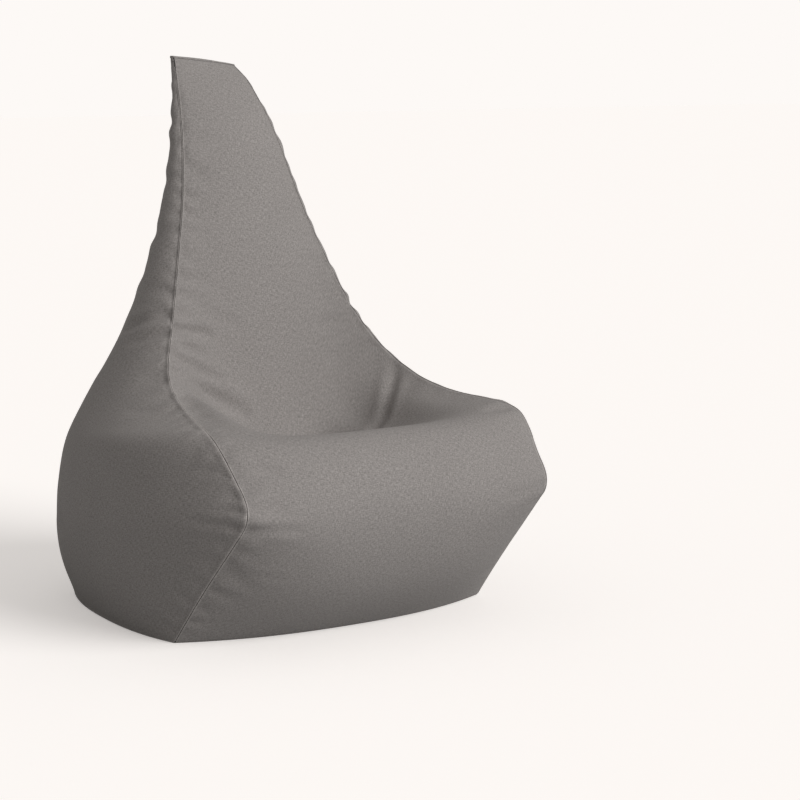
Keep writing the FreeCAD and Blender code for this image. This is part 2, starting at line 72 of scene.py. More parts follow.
# %% Camera
CAMERA_AT = Vector((-2.517, -4.0717, 1.122))
CAMERA_LOOK = Vector((0.5631, 0.8132, -0.1470))
CAMERA_LENS, CAMERA_SENSOR = 107.5, 36

camera = bpy.data.objects.new("camera", bpy.data.cameras.new("camera"))
camera.data.lens = CAMERA_LENS
camera.data.sensor_width = CAMERA_SENSOR
camera.location = CAMERA_AT
camera.rotation_euler = CAMERA_LOOK.to_track_quat("-Z", "Y").to_euler()
bpy.context.scene.collection.objects.link(camera)
bpy.context.scene.camera = camera
print("camera", round(CAMERA_AT.length, 2), "m from the chair")

# %% [markdown]
# ## Helpers for materials
# Colours are chosen as sRGB hex values, as a colour picker shows them, but shaders work in linear
# light, so one function turns them. A second adds a node together with its settings and links,
# which keeps a material short enough to read from top to bottom.


# %% Helpers for materials
def linear(hex_colour):
    """An sRGB hex colour as linear RGBA."""
    channels = [int(hex_colour[i:i + 2], 16) / 255 for i in (1, 3, 5)]
    return [c / 12.92 if c <= 0.04045 else ((c + 0.055) / 1.055) ** 2.4 for c in channels] + [1.0]


def add_node(tree, kind, inputs=None, **settings):
    """Add a node. inputs maps a socket's name or index to a value or to another node's output."""
    node = tree.nodes.new(kind)
    for name, value in settings.items():
        setattr(node, name, value)
    for socket, value in (inputs or {}).items():
        if isinstance(value, bpy.types.NodeSocket):
            tree.links.new(value, node.inputs[socket])
        else:
            node.inputs[socket].default_value = value
    return node


def new_material(name):
    """An empty material and its tree."""
    material = bpy.data.materials.new(name)
    material.use_nodes = True
    material.node_tree.nodes.clear()
    return material, material.node_tree


# %% [markdown]
# ## Studio
# One broad sun from the right, in front and above, lights the seat and the apron, and a dim even
# world fills the shadows. Area lamps would light the floor in a pool. A sun lights all of it alike,
# so it stays one even pale tone and shows only the soft shadow of the chair.

# %% World and sun
FLOOR_COLOUR = "#fdf9f6"
WORLD_COLOUR = "#fffdfb"
WORLD_LEVEL = 0.35
KEY_FROM = Vector((0.35, -0.80, 0.44))
KEY_LEVEL = 0.69
KEY_SPREAD = 38  # the sun's angle in degrees; a wide one gives soft shadows

scene = bpy.context.scene
scene.view_settings.view_transform = "Standard"
pale = linear(FLOOR_COLOUR)

world = bpy.data.worlds.new("studio")
scene.world = world
world.use_nodes = True
tree = world.node_tree
tree.nodes.clear()
ray = add_node(tree, "ShaderNodeLightPath")
seen = ray.outputs["Is Camera Ray"]
for other in ("Is Glossy Ray", "Is Transmission Ray"):
    seen = add_node(tree, "ShaderNodeMath", {0: seen, 1: ray.outputs[other]}, operation="MAXIMUM").outputs[0]
light = add_node(tree, "ShaderNodeBackground", {"Color": linear(WORLD_COLOUR), "Strength": WORLD_LEVEL})
shown = add_node(tree, "ShaderNodeBackground", {"Color": pale, "Strength": 1.0})
mix = add_node(tree, "ShaderNodeMixShader", {0: seen, 1: light.outputs[0], 2: shown.outputs[0]})
add_node(tree, "ShaderNodeOutputWorld", {0: mix.outputs[0]})

key = bpy.data.objects.new("key", bpy.data.lights.new("key", "SUN"))
key.data.energy = KEY_LEVEL * math.pi
key.data.angle = math.radians(KEY_SPREAD)
key.rotation_euler = KEY_FROM.to_track_quat("Z", "Y").to_euler()
scene.collection.objects.link(key)
lit = WORLD_LEVEL + KEY_LEVEL * KEY_FROM.normalized().z
print("world and sun light an open floor to", round(lit, 2))

# %% [markdown]
# The floor is a sheet of pale paper. Part of its tone is its own glow, which sets how dark a shadow
# can get. To light that reaches it from the chair it is a plain matt grey, so how much it throws
# back onto the cloth can be set apart from how it looks.

# %% Floor
FLOOR_GLOW = 0.36  # the share of the floor's tone that shadows can't darken
FLOOR_SIZE = 60.0
BOUNCE = 0.58  # how much of the light the floor sends back to the chair

material, tree = new_material("studio_floor_paper")
ray = add_node(tree, "ShaderNodeLightPath")
tone = [c * (1 - FLOOR_GLOW) / lit for c in pale[:3]] + [1.0]
paper = add_node(tree, "ShaderNodeBsdfDiffuse", {"Color": tone})
glow = add_node(tree, "ShaderNodeEmission", {"Color": pale, "Strength": FLOOR_GLOW})
seen = add_node(tree, "ShaderNodeAddShader", {0: paper.outputs[0], 1: glow.outputs[0]})
unseen = add_node(tree, "ShaderNodeBsdfDiffuse", {"Color": [BOUNCE, BOUNCE, BOUNCE, 1]})
mix = add_node(tree, "ShaderNodeMixShader",
               {0: ray.outputs["Is Camera Ray"], 1: unseen.outputs[0], 2: seen.outputs[0]})
add_node(tree, "ShaderNodeOutputMaterial", {0: mix.outputs[0]})

bm = bmesh.new()
bmesh.ops.create_grid(bm, x_segments=1, y_segments=1, size=FLOOR_SIZE / 2)
bmesh.ops.translate(bm, verts=bm.verts, vec=(0, 0, low.z))
mesh = bpy.data.meshes.new("floor")
bm.to_mesh(mesh)
bm.free()
mesh.materials.append(material)
floor = bpy.data.objects.new("floor", mesh)
scene.collection.objects.link(floor)
print("floor", FLOOR_SIZE, "m wide")

# %% [markdown]
# ## Materials
# The cover is a plain-woven canvas of mottled yarn in a warm grey. Its threads are about 0.7 mm
# apart. At that pitch they'd vanish, so the weave is drawn at 2.2 mm, and the yarn's mottling as
# short streaks along both directions, a few millimetres long. Two crossed sine waves give the weave
# and two stretched noises the streaks, so nothing repeats. Coordinates are the cloth's own UV map,
# in metres, on the sewn pieces, and the object's on the others.

# %% Woven cloth
STREAK_SLOWER = 0.22  # how fast a streak's tone changes along the yarn, against across it
MOTTLE_FROM, MOTTLE_TO = 0.72, 1.28  # the usual range of the two noises' sum
PATCH_SCALE = 9.0  # per metre
PATCH_VARIES = 0.02
WEAVE_RELIEF = 0.35  # the weave's part in the relief, against the streaks
RELIEF = 0.8 * MM


def weave(tree, coordinates, pitch, streak):
    """The weave's height, and the yarn's mottling, from coordinates in metres."""
    parts = add_node(tree, "ShaderNodeSeparateXYZ", {0: coordinates})
    waves = []
    for axis in (0, 1):
        turned = add_node(tree, "ShaderNodeMath", {0: parts.outputs[axis], 1: 2 * math.pi / pitch},
                          operation="MULTIPLY")
        waves.append(add_node(tree, "ShaderNodeMath", {0: turned.outputs[0]}, operation="SINE").outputs[0])
    height = add_node(tree, "ShaderNodeMath", {0: waves[0], 1: waves[1]}, operation="MULTIPLY")
    across, along = 1 / streak, STREAK_SLOWER / streak
    yarns = []
    for scale in ((across, along, 1), (along, across, 1)):
        drawn = add_node(tree, "ShaderNodeVectorMath", {0: coordinates, 1: scale}, operation="MULTIPLY")
        yarn = add_node(tree, "ShaderNodeTexNoise", {
            "Vector": drawn.outputs[0], "Scale": 1.0, "Detail": 2.0, "Roughness": 0.7})
        yarns.append(yarn.outputs[0])
    mottle = add_node(tree, "ShaderNodeMath", {0: yarns[0], 1: yarns[1]}, operation="ADD")
    return height.outputs[0], mottle.outputs[0]


def cloth_material(name, colour, pitch, streak, mottled, bump, sheen, coordinates="cloth", edge_highlight=0.0):
    """A woven cloth. mottled is how much the yarn's tone varies; worn, a painted highlight, how much paler
    an edge is.
    """
    material, tree = new_material(name)
    if coordinates == "cloth":
        at = add_node(tree, "ShaderNodeUVMap", uv_map="cloth").outputs[0]
    else:
        at = add_node(tree, "ShaderNodeTexCoord").outputs["Object"]
    height, mottle = weave(tree, at, pitch, streak)
    tone = add_node(tree, "ShaderNodeMapRange", {
        "Value": mottle, "From Min": MOTTLE_FROM, "From Max": MOTTLE_TO,
        "To Min": 1 - mottled, "To Max": 1 + mottled})
    patch = add_node(tree, "ShaderNodeTexNoise", {"Vector": at, "Scale": PATCH_SCALE, "Detail": 3.0})
    patch = add_node(tree, "ShaderNodeMapRange", {
        "Value": patch.outputs[0], "From Min": 0.3, "From Max": 0.7,
        "To Min": 1 - PATCH_VARIES, "To Max": 1 + PATCH_VARIES})
    tone = add_node(tree, "ShaderNodeMath", {0: tone.outputs[0], 1: patch.outputs[0]}, operation="MULTIPLY")
    # Painted highlight: the panels' edges, marked on the mesh, are drawn paler than the rest.
    if edge_highlight:
        edge = add_node(tree, "ShaderNodeAttribute", attribute_name="painted_highlight")
        edge = add_node(tree, "ShaderNodeMapRange", {
            "Value": edge.outputs["Fac"], "From Min": 0.5, "From Max": 1.0,
            "To Min": 1.0, "To Max": 1 + edge_highlight})
        tone = add_node(tree, "ShaderNodeMath", {0: tone.outputs[0], 1: edge.outputs[0]},
                        operation="MULTIPLY")
    colour = add_node(tree, "ShaderNodeVectorMath", {0: linear(colour)[:3], 1: tone.outputs[0]},
                      operation="MULTIPLY")
    relief = add_node(tree, "ShaderNodeMath", {0: height, 1: WEAVE_RELIEF}, operation="MULTIPLY")
    relief = add_node(tree, "ShaderNodeMath", {0: relief.outputs[0], 1: mottle}, operation="ADD")
    bumped = add_node(tree, "ShaderNodeBump", {
        "Height": relief.outputs[0], "Strength": bump, "Distance": RELIEF})
    surface = add_node(tree, "ShaderNodeBsdfPrincipled", {
        "Base Color": colour.outputs[0], "Roughness": 0.92, "Specular IOR Level": 0.2, "Sheen Weight": sheen,
        "Sheen Roughness": 0.6, "Normal": bumped.outputs[0]})
    add_node(tree, "ShaderNodeOutputMaterial", {0: surface.outputs[0]})
    return material


# Woven from spun yarn, so matt and faintly fuzzy, and mottled by uneven yarns. A painted highlight
# makes the panels' edges paler.
canvas = cloth_material("woven_canvas", "#95908d", pitch=2.2 * MM, streak=1.6 * MM, mottled=0.34, bump=0.8,
                        sheen=0.06, edge_highlight=0.5)
# The same canvas, folded and pulled tight deep in a seam. Its colour is a painted shade, near black,
# so it shows as a dark line.
seam_shade_canvas = cloth_material("folded_canvas_in_the_seams", "#2b2927", pitch=2.2 * MM, streak=3 * MM,
                             mottled=0.10, bump=0.4, sheen=0.0)
# Thin and close-woven, so almost plain white. Its real pitch is finer than the 1.2 mm drawn.
liner_cloth = cloth_material("white_polyester_liner", "#dedbd4", pitch=1.2 * MM, streak=2 * MM, mottled=0.05,
                             bump=0.3, sheen=0.05)
# Woven firm and flat, a little darker than the cover. The 1.0 mm drawn is about its ribs' pitch.
tape = cloth_material("woven_polyester_zip_tape", "#6b6764", pitch=1.0 * MM, streak=1.6 * MM, mottled=0.12,
                      bump=0.6, sheen=0.0, coordinates="object")
# Spun and twisted, so it has a soft sheen and stands out from the canvas by its lighter tone.
thread = cloth_material("spun_polyester_thread", "#c9c4bf", pitch=0.8 * MM, streak=1 * MM, mottled=0.08,
                        bump=0.4, sheen=0.1, coordinates="object")
print("cloth materials:", len(bpy.data.materials) - 1)

# %% [markdown]
# The zips' teeth are moulded in plastic, their sliders are cast in zinc and coated, and the beads
# are foamed polystyrene. All three have a surface of fine cells: the grain of a mould, the pebble of
# a coating, the skin of foam. So one function makes them, from a cell size that is near the real one.

# %% Plastic, metal and beads
NOISE_FINER = 2.5  # how much finer the tone varies than the cells


def celled_material(name, colour, cell, varied, bump, **settings):
    """A surface of fine cells."""
    material, tree = new_material(name)
    at = add_node(tree, "ShaderNodeTexCoord").outputs["Object"]
    cells = add_node(tree, "ShaderNodeTexVoronoi", {"Vector": at, "Scale": 1 / cell})
    fine_noise = add_node(tree, "ShaderNodeTexNoise", {
        "Vector": at, "Scale": NOISE_FINER / cell, "Detail": 3.0})
    tone = add_node(tree, "ShaderNodeMapRange", {
        "Value": fine_noise.outputs[0], "From Min": 0.3, "From Max": 0.7,
        "To Min": 1 - varied, "To Max": 1 + varied})
    colour = add_node(tree, "ShaderNodeVectorMath", {0: linear(colour)[:3], 1: tone.outputs[0]},
                      operation="MULTIPLY")
    bumped = add_node(tree, "ShaderNodeBump", {
        "Height": cells.outputs["Distance"], "Strength": bump, "Distance": cell / 2}, invert=True)
    surface = add_node(tree, "ShaderNodeBsdfPrincipled", {
        "Base Color": colour.outputs[0], "Normal": bumped.outputs[0],
        **{key.replace("_", " ").title(): value for key, value in settings.items()}})
    add_node(tree, "ShaderNodeOutputMaterial", {0: surface.outputs[0]})
    return material


# Moulded, so smooth with a soft shine.
plastic = celled_material("moulded_acetal_teeth", "#7a7672", 1.5 * MM, 0.05, 0.05, roughness=0.42)
# Cast and coated, so a satin metal with a faint pebble.
metal = celled_material("coated_zinc_slider", "#8a8784", 0.8 * MM, 0.06, 0.08, roughness=0.34, metallic=0.85)
# Loose white beads of about 4.5 mm, which give the mass its round bumps.
bead_foam = celled_material("polystyrene_beads", "#f2f0ec", 4.5 * MM, 0.03, 0.9, roughness=0.7)
print("materials:", len(bpy.data.materials))

# %% [markdown]
# ## The cover's pattern
# Four lines give the bag its shape: the front seam, the middle of the front panel, the rear seam
# and the middle of the back panel. Each runs from the floor to the top through the same thirteen
# stations. A panel is the surface between its lines, and how square or round it is across says
# whether it folds sharply at its seams. The pattern is graded to the frame's box.
#
# A sculpted or remeshed blob would be quicker, but a pattern keeps the panels apart and lets the
# cloth's grain follow them.

# %% Pattern
# Each station is half the width, the depth and the height, in mm.
FRONT_SEAM = [
    (358, -190, 0), (352, -318, 140), (344, -432, 268), (343, -408, 335), (350, -335, 410),
    (318, -215, 424), (288, -95, 446), (262, -10, 492), (218, 50, 575), (170, 106, 708),
    (135, 147, 828), (106, 200, 969), (72, 292, 1100),
]
FRONT_CENTRE = [
    (0, -262, 0), (0, -385, 105), (0, -452, 225), (0, -452, 320), (0, -385, 397), (0, -270, 374),
    (0, -140, 315), (0, -25, 318), (0, 38, 440), (0, 75, 640), (0, 118, 800), (0, 175, 955),
    (0, 288, 1096),
]
REAR_SEAM = [
    (312, 310, 0), (330, 334, 95), (334, 336, 180), (330, 330, 240), (320, 322, 300),
    (305, 312, 350), (282, 296, 405), (252, 278, 465), (212, 254, 550), (162, 234, 690),
    (128, 228, 820), (100, 248, 965), (72, 303, 1100),
]
REAR_CENTRE = [
    (0, 405, 0), (0, 464, 95), (0, 482, 180), (0, 478, 240), (0, 462, 300), (0, 440, 350),
    (0, 408, 405), (0, 370, 465), (0, 325, 550), (0, 277, 690), (0, 257, 820), (0, 270, 965),
    (0, 300, 1098),
]
SIDE_BULGE = [40, 80, 98, 98, 90, 81, 66, 52, 41, 30, 22, 13, 0]
FRONT_SQUARENESS = [2.4, 3, 3.2, 3.2, 3.2, 3.0, 2.8, 2.6, 2.4, 2.2, 2, 2, 2]
REAR_SQUARENESS = 2.2
SIDE_SQUARENESS = 2.4
LAST = len(FRONT_SEAM) - 1


def natural_spline(stations):
    """The natural cubic spline through the stations, as a function of an array of t."""
    values = np.array(stations, float)
    count = len(values)
    system = np.eye(count)
    right = np.zeros_like(values)
    for i in range(1, count - 1):
        system[i, i - 1:i + 2] = 1, 4, 1
        right[i] = 6 * (values[i + 1] - 2 * values[i] + values[i - 1])
    bends = np.linalg.solve(system, right)

    def at(t):
        t = np.asarray(t, float)
        i = np.clip(t.astype(int), 0, count - 2)
        f = t - i
        if values.ndim > 1:
            f = f[..., None]
        g = 1 - f
        bend = (g**3 - g) * bends[i] + (f**3 - f) * bends[i + 1]
        return g * values[i] + f * values[i + 1] + bend / 6

    return at


CORNER, CORNER_AT, CORNER_REACH = 9.0, 1.93, 0.2  # the apron's corner, in mm and stations
front_seam_line, front_centre = natural_spline(FRONT_SEAM), natural_spline(FRONT_CENTRE)
rear_seam, rear_centre = natural_spline(REAR_SEAM), natural_spline(REAR_CENTRE)
side_bulge, front_squareness = natural_spline(SIDE_BULGE), natural_spline(FRONT_SQUARENESS)


def front_seam(t):
    """The front seam, drawn out to a sharper corner where the apron's two edges meet."""
    line = front_seam_line(t)
    line[..., 1] -= CORNER * np.exp(-np.abs(t - CORNER_AT) / CORNER_REACH)
    return line


# %% [markdown]
# ### The sat-in seat
# A sitter's weight has pressed the seat in, and the beads have been pushed up into a soft roll that
# runs over both arms, just inside the front seam. The roll is higher over the left arm, and the seat
# deeper inside it, while the right side of the seat has filled out. The top's right corner has
# sunk, as the beads don't reach it. Smooth humps added to the pattern give all of this.

# %% Shape of the bag
ROLL_HEIGHT = {-1: 62.0, 1: 26.0}  # mm, over the left and the right arm
ROLL_AT, ROLL_WIDTH = 0.79, 0.14  # across the front panel, as shares of its half width
ROLL_STATIONS = (4.1, 6.1, 8.2)  # starts, highest, ends
TROUGH_DEPTH = {-1: 26.0, 1: -16.0}  # mm, the seat just inside the roll; the right side is filled out
TROUGH_AT, TROUGH_WIDTH = 0.50, 0.16
TROUGH_STATIONS = (4.7, 6.4, 8.0)
SUNK_CORNER = 17.0  # mm
SUNK_FROM = 0.955  # share of the height
SUNK_HALF_WIDTH = 0.07  # half the width of the bag's top, in metres


def bump(x, start, peak, end):
    """A smooth hump: 0 at start and end, 1 at peak."""
    rise = np.clip((x - start) / (peak - start), 0, 1)
    fall = np.clip((end - x) / (end - peak), 0, 1)
    s = np.minimum(rise, fall)
    return s * s * (3 - 2 * s)


def ridge_across(a, at, width):
    """A ridge across the front panel, in both its halves."""
    return np.exp(-((np.abs(a) - at) / width) ** 2)


def front_surface(a, t):
    """The front panel. a runs across it from -1 to 1, and t up it through the stations."""
    seam, centre = front_seam(t), front_centre(t)
    share = (np.abs(a) ** front_squareness(t))[..., None]
    p = centre + (seam - centre) * share
    p[..., 0] = a * seam[..., 0]
    ridge = ridge_across(a, ROLL_AT, ROLL_WIDTH) - math.exp(-((1 - ROLL_AT) / ROLL_WIDTH) ** 2)
    trough = ridge_across(a, TROUGH_AT, TROUGH_WIDTH) * bump(t, *TROUGH_STATIONS)
    for side in (-1, 1):
        on_side = a * side > 0
        p[..., 2] += on_side * ROLL_HEIGHT[side] * np.clip(ridge, 0, 1) * bump(t, *ROLL_STATIONS)
        p[..., 2] -= on_side * TROUGH_DEPTH[side] * trough
    return p


def back_surface(a, t):
    """The back panel, as front_surface."""
    seam, centre = rear_seam(t), rear_centre(t)
    p = centre + (seam - centre) * (np.abs(a) ** REAR_SQUARENESS)[..., None]
    p[..., 0] = a * seam[..., 0]
    return p


def side_surface(side):
    """A side panel's surface. Its b runs from -1 at the front seam to 1 at the rear seam."""
    def surface(b, t):
        front, rear = front_seam(t), rear_seam(t)
        p = front + (rear - front) * ((b + 1) / 2)[..., None]
        p[..., 0] = side * (p[..., 0] + side_bulge(t) * (1 - np.abs(b) ** SIDE_SQUARENESS))
        return p
    return surface


SURFACES = {"front": front_surface, "back": back_surface, "left": side_surface(-1), "right": side_surface(1)}
print("surfaces for", ", ".join(SURFACES))

# %% [markdown]
# ### Grading
# Rows are spaced evenly along the cloth, not along the stations, so that the grid's cells come out
# about square. The whole is then stretched a little to fill the frame's box.

# %% Lay out the grid and grade it
ACROSS = {"front": 48, "back": 48, "left": 32, "right": 32}
UP_ROWS = 124
SAMPLES = 1201  # for measuring a line's length

samples = np.linspace(0, LAST, SAMPLES)
length = np.zeros(len(samples))
for line in (front_seam, front_centre, rear_seam, rear_centre):
    steps = np.linalg.norm(np.diff(line(samples), axis=0), axis=1)
    length[1:] += np.cumsum(steps) / 4
row_stations = np.interp(np.linspace(0, length[-1], UP_ROWS + 1), length, samples)
print("mean height along the cloth", round(length[-1]), "mm in", UP_ROWS, "rows")

nets = {}
for name, surface in SURFACES.items():
    a, t = np.meshgrid(np.linspace(-1, 1, ACROSS[name] + 1), row_stations, indexing="ij")
    nets[name] = surface(a, t)
every = np.concatenate([net.reshape(-1, 3) for net in nets.values()])
net_low, net_high = every.min(0), every.max(0)
grade = np.array(size) / (net_high - net_low)
for name, net in nets.items():
    net[...] = (net - (net_low + net_high) / 2) * grade + np.array((low + high) / 2)
    sunk = np.clip((net[..., 2] / high.z - SUNK_FROM) / (1 - SUNK_FROM), 0, 1)
    to_right = np.clip(net[..., 0] / SUNK_HALF_WIDTH, -1, 1) * 0.5 + 0.5
    net[..., 2] -= SUNK_CORNER * MM * sunk * to_right**2
print("graded by", np.round(grade / MM, 4))

# %% [markdown]
# ## The cover as cloth
# Each panel starts as a flat grid, as cloth does on the cutting table, and is moved to its place in
# the bag. The four are then sewn together by merging their edges. The panel's own UV map holds the
# cloth's size in metres, measured from the panel's middle line, so that the weave's grain follows
# the cloth. A whole number added to it says which panel a face belongs to.

# %% Cut and sew the panels
PANELS = list(SURFACES)


def cloth_uv(net):
    """Distance from the middle line, and height along it, in metres."""
    middle = net.shape[0] // 2
    across = np.zeros(net.shape[:2])
    across[1:] = np.cumsum(np.linalg.norm(np.diff(net, axis=0), axis=2), axis=0)
    up = np.zeros(net.shape[1])
    up[1:] = np.cumsum(np.linalg.norm(np.diff(net[middle], axis=0), axis=1))
    return across - across[middle], np.broadcast_to(up, net.shape[:2])


def panel_of(face, uv_layer):
    """The number of the panel that a face was cut from."""
    return round(face.loops[0][uv_layer].uv.x)


bag = bmesh.new()
uv_layer = bag.loops.layers.uv.new("cloth")
sharp_layer = bag.edges.layers.float.new("crease_edge")
for number, name in enumerate(PANELS):
    net = nets[name]
    made = bmesh.ops.create_grid(bag, x_segments=ACROSS[name], y_segments=UP_ROWS, size=1)["verts"]
    cells = {v: (round((v.co.x + 1) / 2 * ACROSS[name]), round((v.co.y + 1) / 2 * UP_ROWS)) for v in made}
    across, up = cloth_uv(net)
    for face in {f for v in made for f in v.link_faces}:
        face.smooth = True
        for loop in face.loops:
            i, j = cells[loop.vert]
            loop[uv_layer].uv = across[i, j] + number, up[i, j]
    for vert, cell in cells.items():
        vert.co = net[cell]
bmesh.ops.remove_doubles(bag, verts=bag.verts, dist=0.00002)
bmesh.ops.recalc_face_normals(bag, faces=bag.faces)
bag_middle = Vector((0, 0, 0.35 * high.z))
if sum(f.normal.dot(f.calc_center_median() - bag_middle) * f.calc_area() for f in bag.faces) < 0:
    bmesh.ops.reverse_faces(bag, faces=bag.faces[:])


def seams_of(bm, layer):
    """Each seam's edges, by the pair of panels that it joins."""
    found = {}
    for edge in bm.edges:
        sides = sorted({panel_of(f, layer) for f in edge.link_faces})
        if len(sides) == 2:
            found.setdefault((PANELS[sides[0]], PANELS[sides[1]]), []).append(edge)
    return found


for edges in seams_of(bag, uv_layer).values():
    for edge in edges:
        edge[sharp_layer] = 1.0
print("sewn bag:", len(bag.verts), "vertices", len(bag.faces), "faces")

# %% [markdown]
# ### Filling
# The beads push the cloth out between the seams, and a straight seam holds its line. The cloth
# simulation starts from the pattern, with pressure from inside, slightly shortened seams and a
# light hold to the pattern. The cloth round the zip is held, as the zip's tape keeps it smooth.
# Sculpting the swell by hand would be as good, but it couldn't be repeated for another size.

# %% What holds the cloth
HOLD = 0.3
FLOOR_HELD = 0.05  # metres above the floor
TOP_HELD_FROM, TOP_HELD_OVER = 0.93, 0.06  # shares of the height
ZIP_HELD = 0.05  # metres round the zip
ZIP_Z = 0.190  # the zip's height
ZIP_Y, ZIP_RADIUS = 0.024233, 0.44512  # the axis it bends round, and the radius
ZIP_REACH = 0.166  # half the opening's length, along the arc
ZIP_HIGH = 0.014  # the cloth this far above and below the zip's line is held in full
BACK_FROM = 0.2  # the back panel is past this depth


def near_zip(places, margin):
    """1 at the zip, falling to 0 at the margin from it."""
    along = np.abs(np.arctan2(places[:, 0], places[:, 1] - ZIP_Y)) * ZIP_RADIUS
    above = np.abs(places[:, 2] - ZIP_Z)
    past = np.hypot(np.maximum(along - ZIP_REACH, 0), np.maximum(above - ZIP_HIGH, 0))
    return np.clip(1 - past / margin, 0, 1) * (places[:, 1] > BACK_FROM)


bag.verts.ensure_lookup_table()
places = np.array([v.co for v in bag.verts])
height = places[:, 2]
seam_verts = {v.index for edges in seams_of(bag, uv_layer).values() for e in edges for v in e.verts}
hold = np.full(len(places), HOLD)
hold = np.maximum(hold, np.clip((FLOOR_HELD - height) / FLOOR_HELD, 0, 1))
hold = np.maximum(hold, np.clip((height - TOP_HELD_FROM * high.z) / (TOP_HELD_OVER * high.z), 0, 1))
hold = np.maximum(hold, near_zip(places, ZIP_HELD))

mesh = bpy.data.meshes.new("bag")
bag.to_mesh(mesh)
cloth = bpy.data.objects.new("bag", mesh)
scene.collection.objects.link(cloth)
group = cloth.vertex_groups.new(name="hold")
for k, weight in enumerate(hold):
    group.add([k], float(weight), "REPLACE")
group = cloth.vertex_groups.new(name="gather")
group.add(sorted(seam_verts), 1.0, "REPLACE")
print(len(seam_verts), "vertices on the seams gather")

# %% Settle the cloth
SIM_FRAMES = 22
PRESSURE = 2.2
SEAM_SHRINK = 0.03
CAP = 9 * MM  # no point moves farther than this

settled = places.copy()
modifier = cloth.modifiers.new("cloth", "CLOTH")
settings = modifier.settings
settings.quality = 6
settings.mass = 0.3
settings.tension_stiffness = settings.compression_stiffness = 30
settings.shear_stiffness = 8
settings.bending_stiffness = 6.0
settings.vertex_group_mass = "hold"
settings.pin_stiffness = 6
settings.vertex_group_shrink = "gather"
settings.shrink_min = 0.0
settings.shrink_max = SEAM_SHRINK
settings.use_pressure = True
settings.uniform_pressure_force = PRESSURE
settings.effector_weights.gravity = 0
modifier.collision_settings.use_collision = False
modifier.point_cache.frame_start = 1
modifier.point_cache.frame_end = SIM_FRAMES
began = time.time()
for number in range(1, SIM_FRAMES + 1):
    scene.frame_set(number)
done = cloth.evaluated_get(bpy.context.evaluated_depsgraph_get()).to_mesh()
flat = np.zeros(len(done.vertices) * 3, np.float32)
done.vertices.foreach_get("co", flat)
settled = flat.reshape(-1, 3).astype(float)
print("settled in", round(time.time() - began, 1), "s")
cloth.modifiers.remove(modifier)
scene.frame_set(1)
move = settled - places
far = np.linalg.norm(move, axis=1)
kept = np.minimum(far, CAP) / np.maximum(far, 1e-9) * (1 - near_zip(places, ZIP_HELD))
move *= kept[:, None]
for vert, step in zip(bag.verts, move):
    vert.co += Vector(step)
bag.to_mesh(mesh)
print("before the cap, the cloth moves up to", round(float(far.max()) / MM, 1), "mm, and on average",
      round(float(far.mean()) / MM, 1))

# %% [markdown]
# ### Refining
# One subdivision brings the grid down to five or six millimetres, fine enough for the folds. The
# seams are creased, so that they stay sharp. Each vertex also gets two values of its own: which way
# is out, kept from before the edges are turned in, and how much a painted highlight makes it paler.

# %% Refine the cloth
refine = cloth.modifiers.new("refine", "SUBSURF")
refine.levels = refine.render_levels = 1
done = cloth.evaluated_get(bpy.context.evaluated_depsgraph_get()).to_mesh()
fine = bmesh.new()
fine.from_mesh(done)
bpy.data.objects.remove(cloth)
out_layer = fine.verts.layers.float_vector.new("out")
# A layer for the painted highlight on the panels' edges.
fine.verts.layers.float.new("painted_highlight")
fine.normal_update()
fine.verts.ensure_lookup_table()
fine_uv = fine.loops.layers.uv["cloth"]
places = np.array([v.co for v in fine.verts])
normals = np.array([v.normal for v in fine.verts])
of_panel = {name: set() for name in PANELS}
for face in fine.faces:
    of_panel[PANELS[panel_of(face, fine_uv)]].update(v.index for v in face.verts)
of_panel = {name: np.array(sorted(found)) for name, found in of_panel.items()}


def edges_by_vertex(edges):
    """For each vertex, those of the edges that meet there."""
    found = {}
    for edge in edges:
        for vert in edge.verts:
            found.setdefault(vert, []).append(edge)
    return found


def in_order(edges):
    """The vertices along a chain of edges, from the floor up."""
    ends = edges_by_vertex(edges)
    start = min((v for v in ends if len(ends[v]) == 1), key=lambda v: v.co.z)
    chain, last = [start], None
    while True:
        ahead = [e for e in ends[chain[-1]] if e is not last]
        if not ahead:
            return chain
        last = ahead[0]
        chain.append(last.other_vert(chain[-1]))


seams = {pair: in_order(edges) for pair, edges in seams_of(fine, fine_uv).items()}
print("refined bag:", len(fine.verts), "vertices")
print("vertices along the seams:", {"-".join(pair): len(chain) for pair, chain in seams.items()})

# %% [markdown]
# ### Gathers
# Beside a seam the cloth gathers into soft puckers, about one every four centimetres, which fade
# within ten. They're strongest where the seam bends, at the waist where the backrest meets the arms
# and at the apron's corner. The simulation alone crumples the cloth or folds it too evenly, so each
# pucker is a furrow of its own, with its place, reach and slant drawn from a seeded generator.

# %% Gathers beside the seams
PUCKER_STEP = 0.042
STEP_VARIES = (0.6, 1.4)
MOST_PUCKERS = 60  # on one seam
LAST_PUCKER = 0.05  # from the top, in metres
PUCKER_DEEP = {"front": 6.5 * MM, "back": 4.5 * MM, "left": 6.5 * MM, "right": 6.0 * MM}
PUCKER_STRENGTH = (0.35, 1.0)
PUCKER_REACH = (0.045, 0.10)
PUCKER_HALF_WIDTH = (0.008, 0.013)
PUCKER_SLANT = (-0.35, 0.35)
PUCKER_STARTS = 0.012  # full depth at this distance from the seam
PUCKER_LEVELS = [  # height in metres, strength
    (0, 0.5), (0.15, 0.9), (0.30, 1.1), (0.40, 0.55), (0.46, 0.9), (0.60, 1.15), (0.85, 0.8), (1.1, 0.35),
]
SEAM_EASE = {("front", "right"): 0.5, ("back", "right"): 0.7, ("back", "left"): 0.8}
SEAM_PULL = 2.2 * MM  # how far the seam draws the cloth down beside it
SEAM_PULL_REACH = 0.011
FURROW_RIDGE, FURROW_RIDGE_AT, FURROW_RIDGE_WIDTH = 0.34, 1.9, 0.9  # against the valley's
rng = np.random.default_rng(11)
lift = np.zeros(len(places))  # how far each vertex goes out along its normal


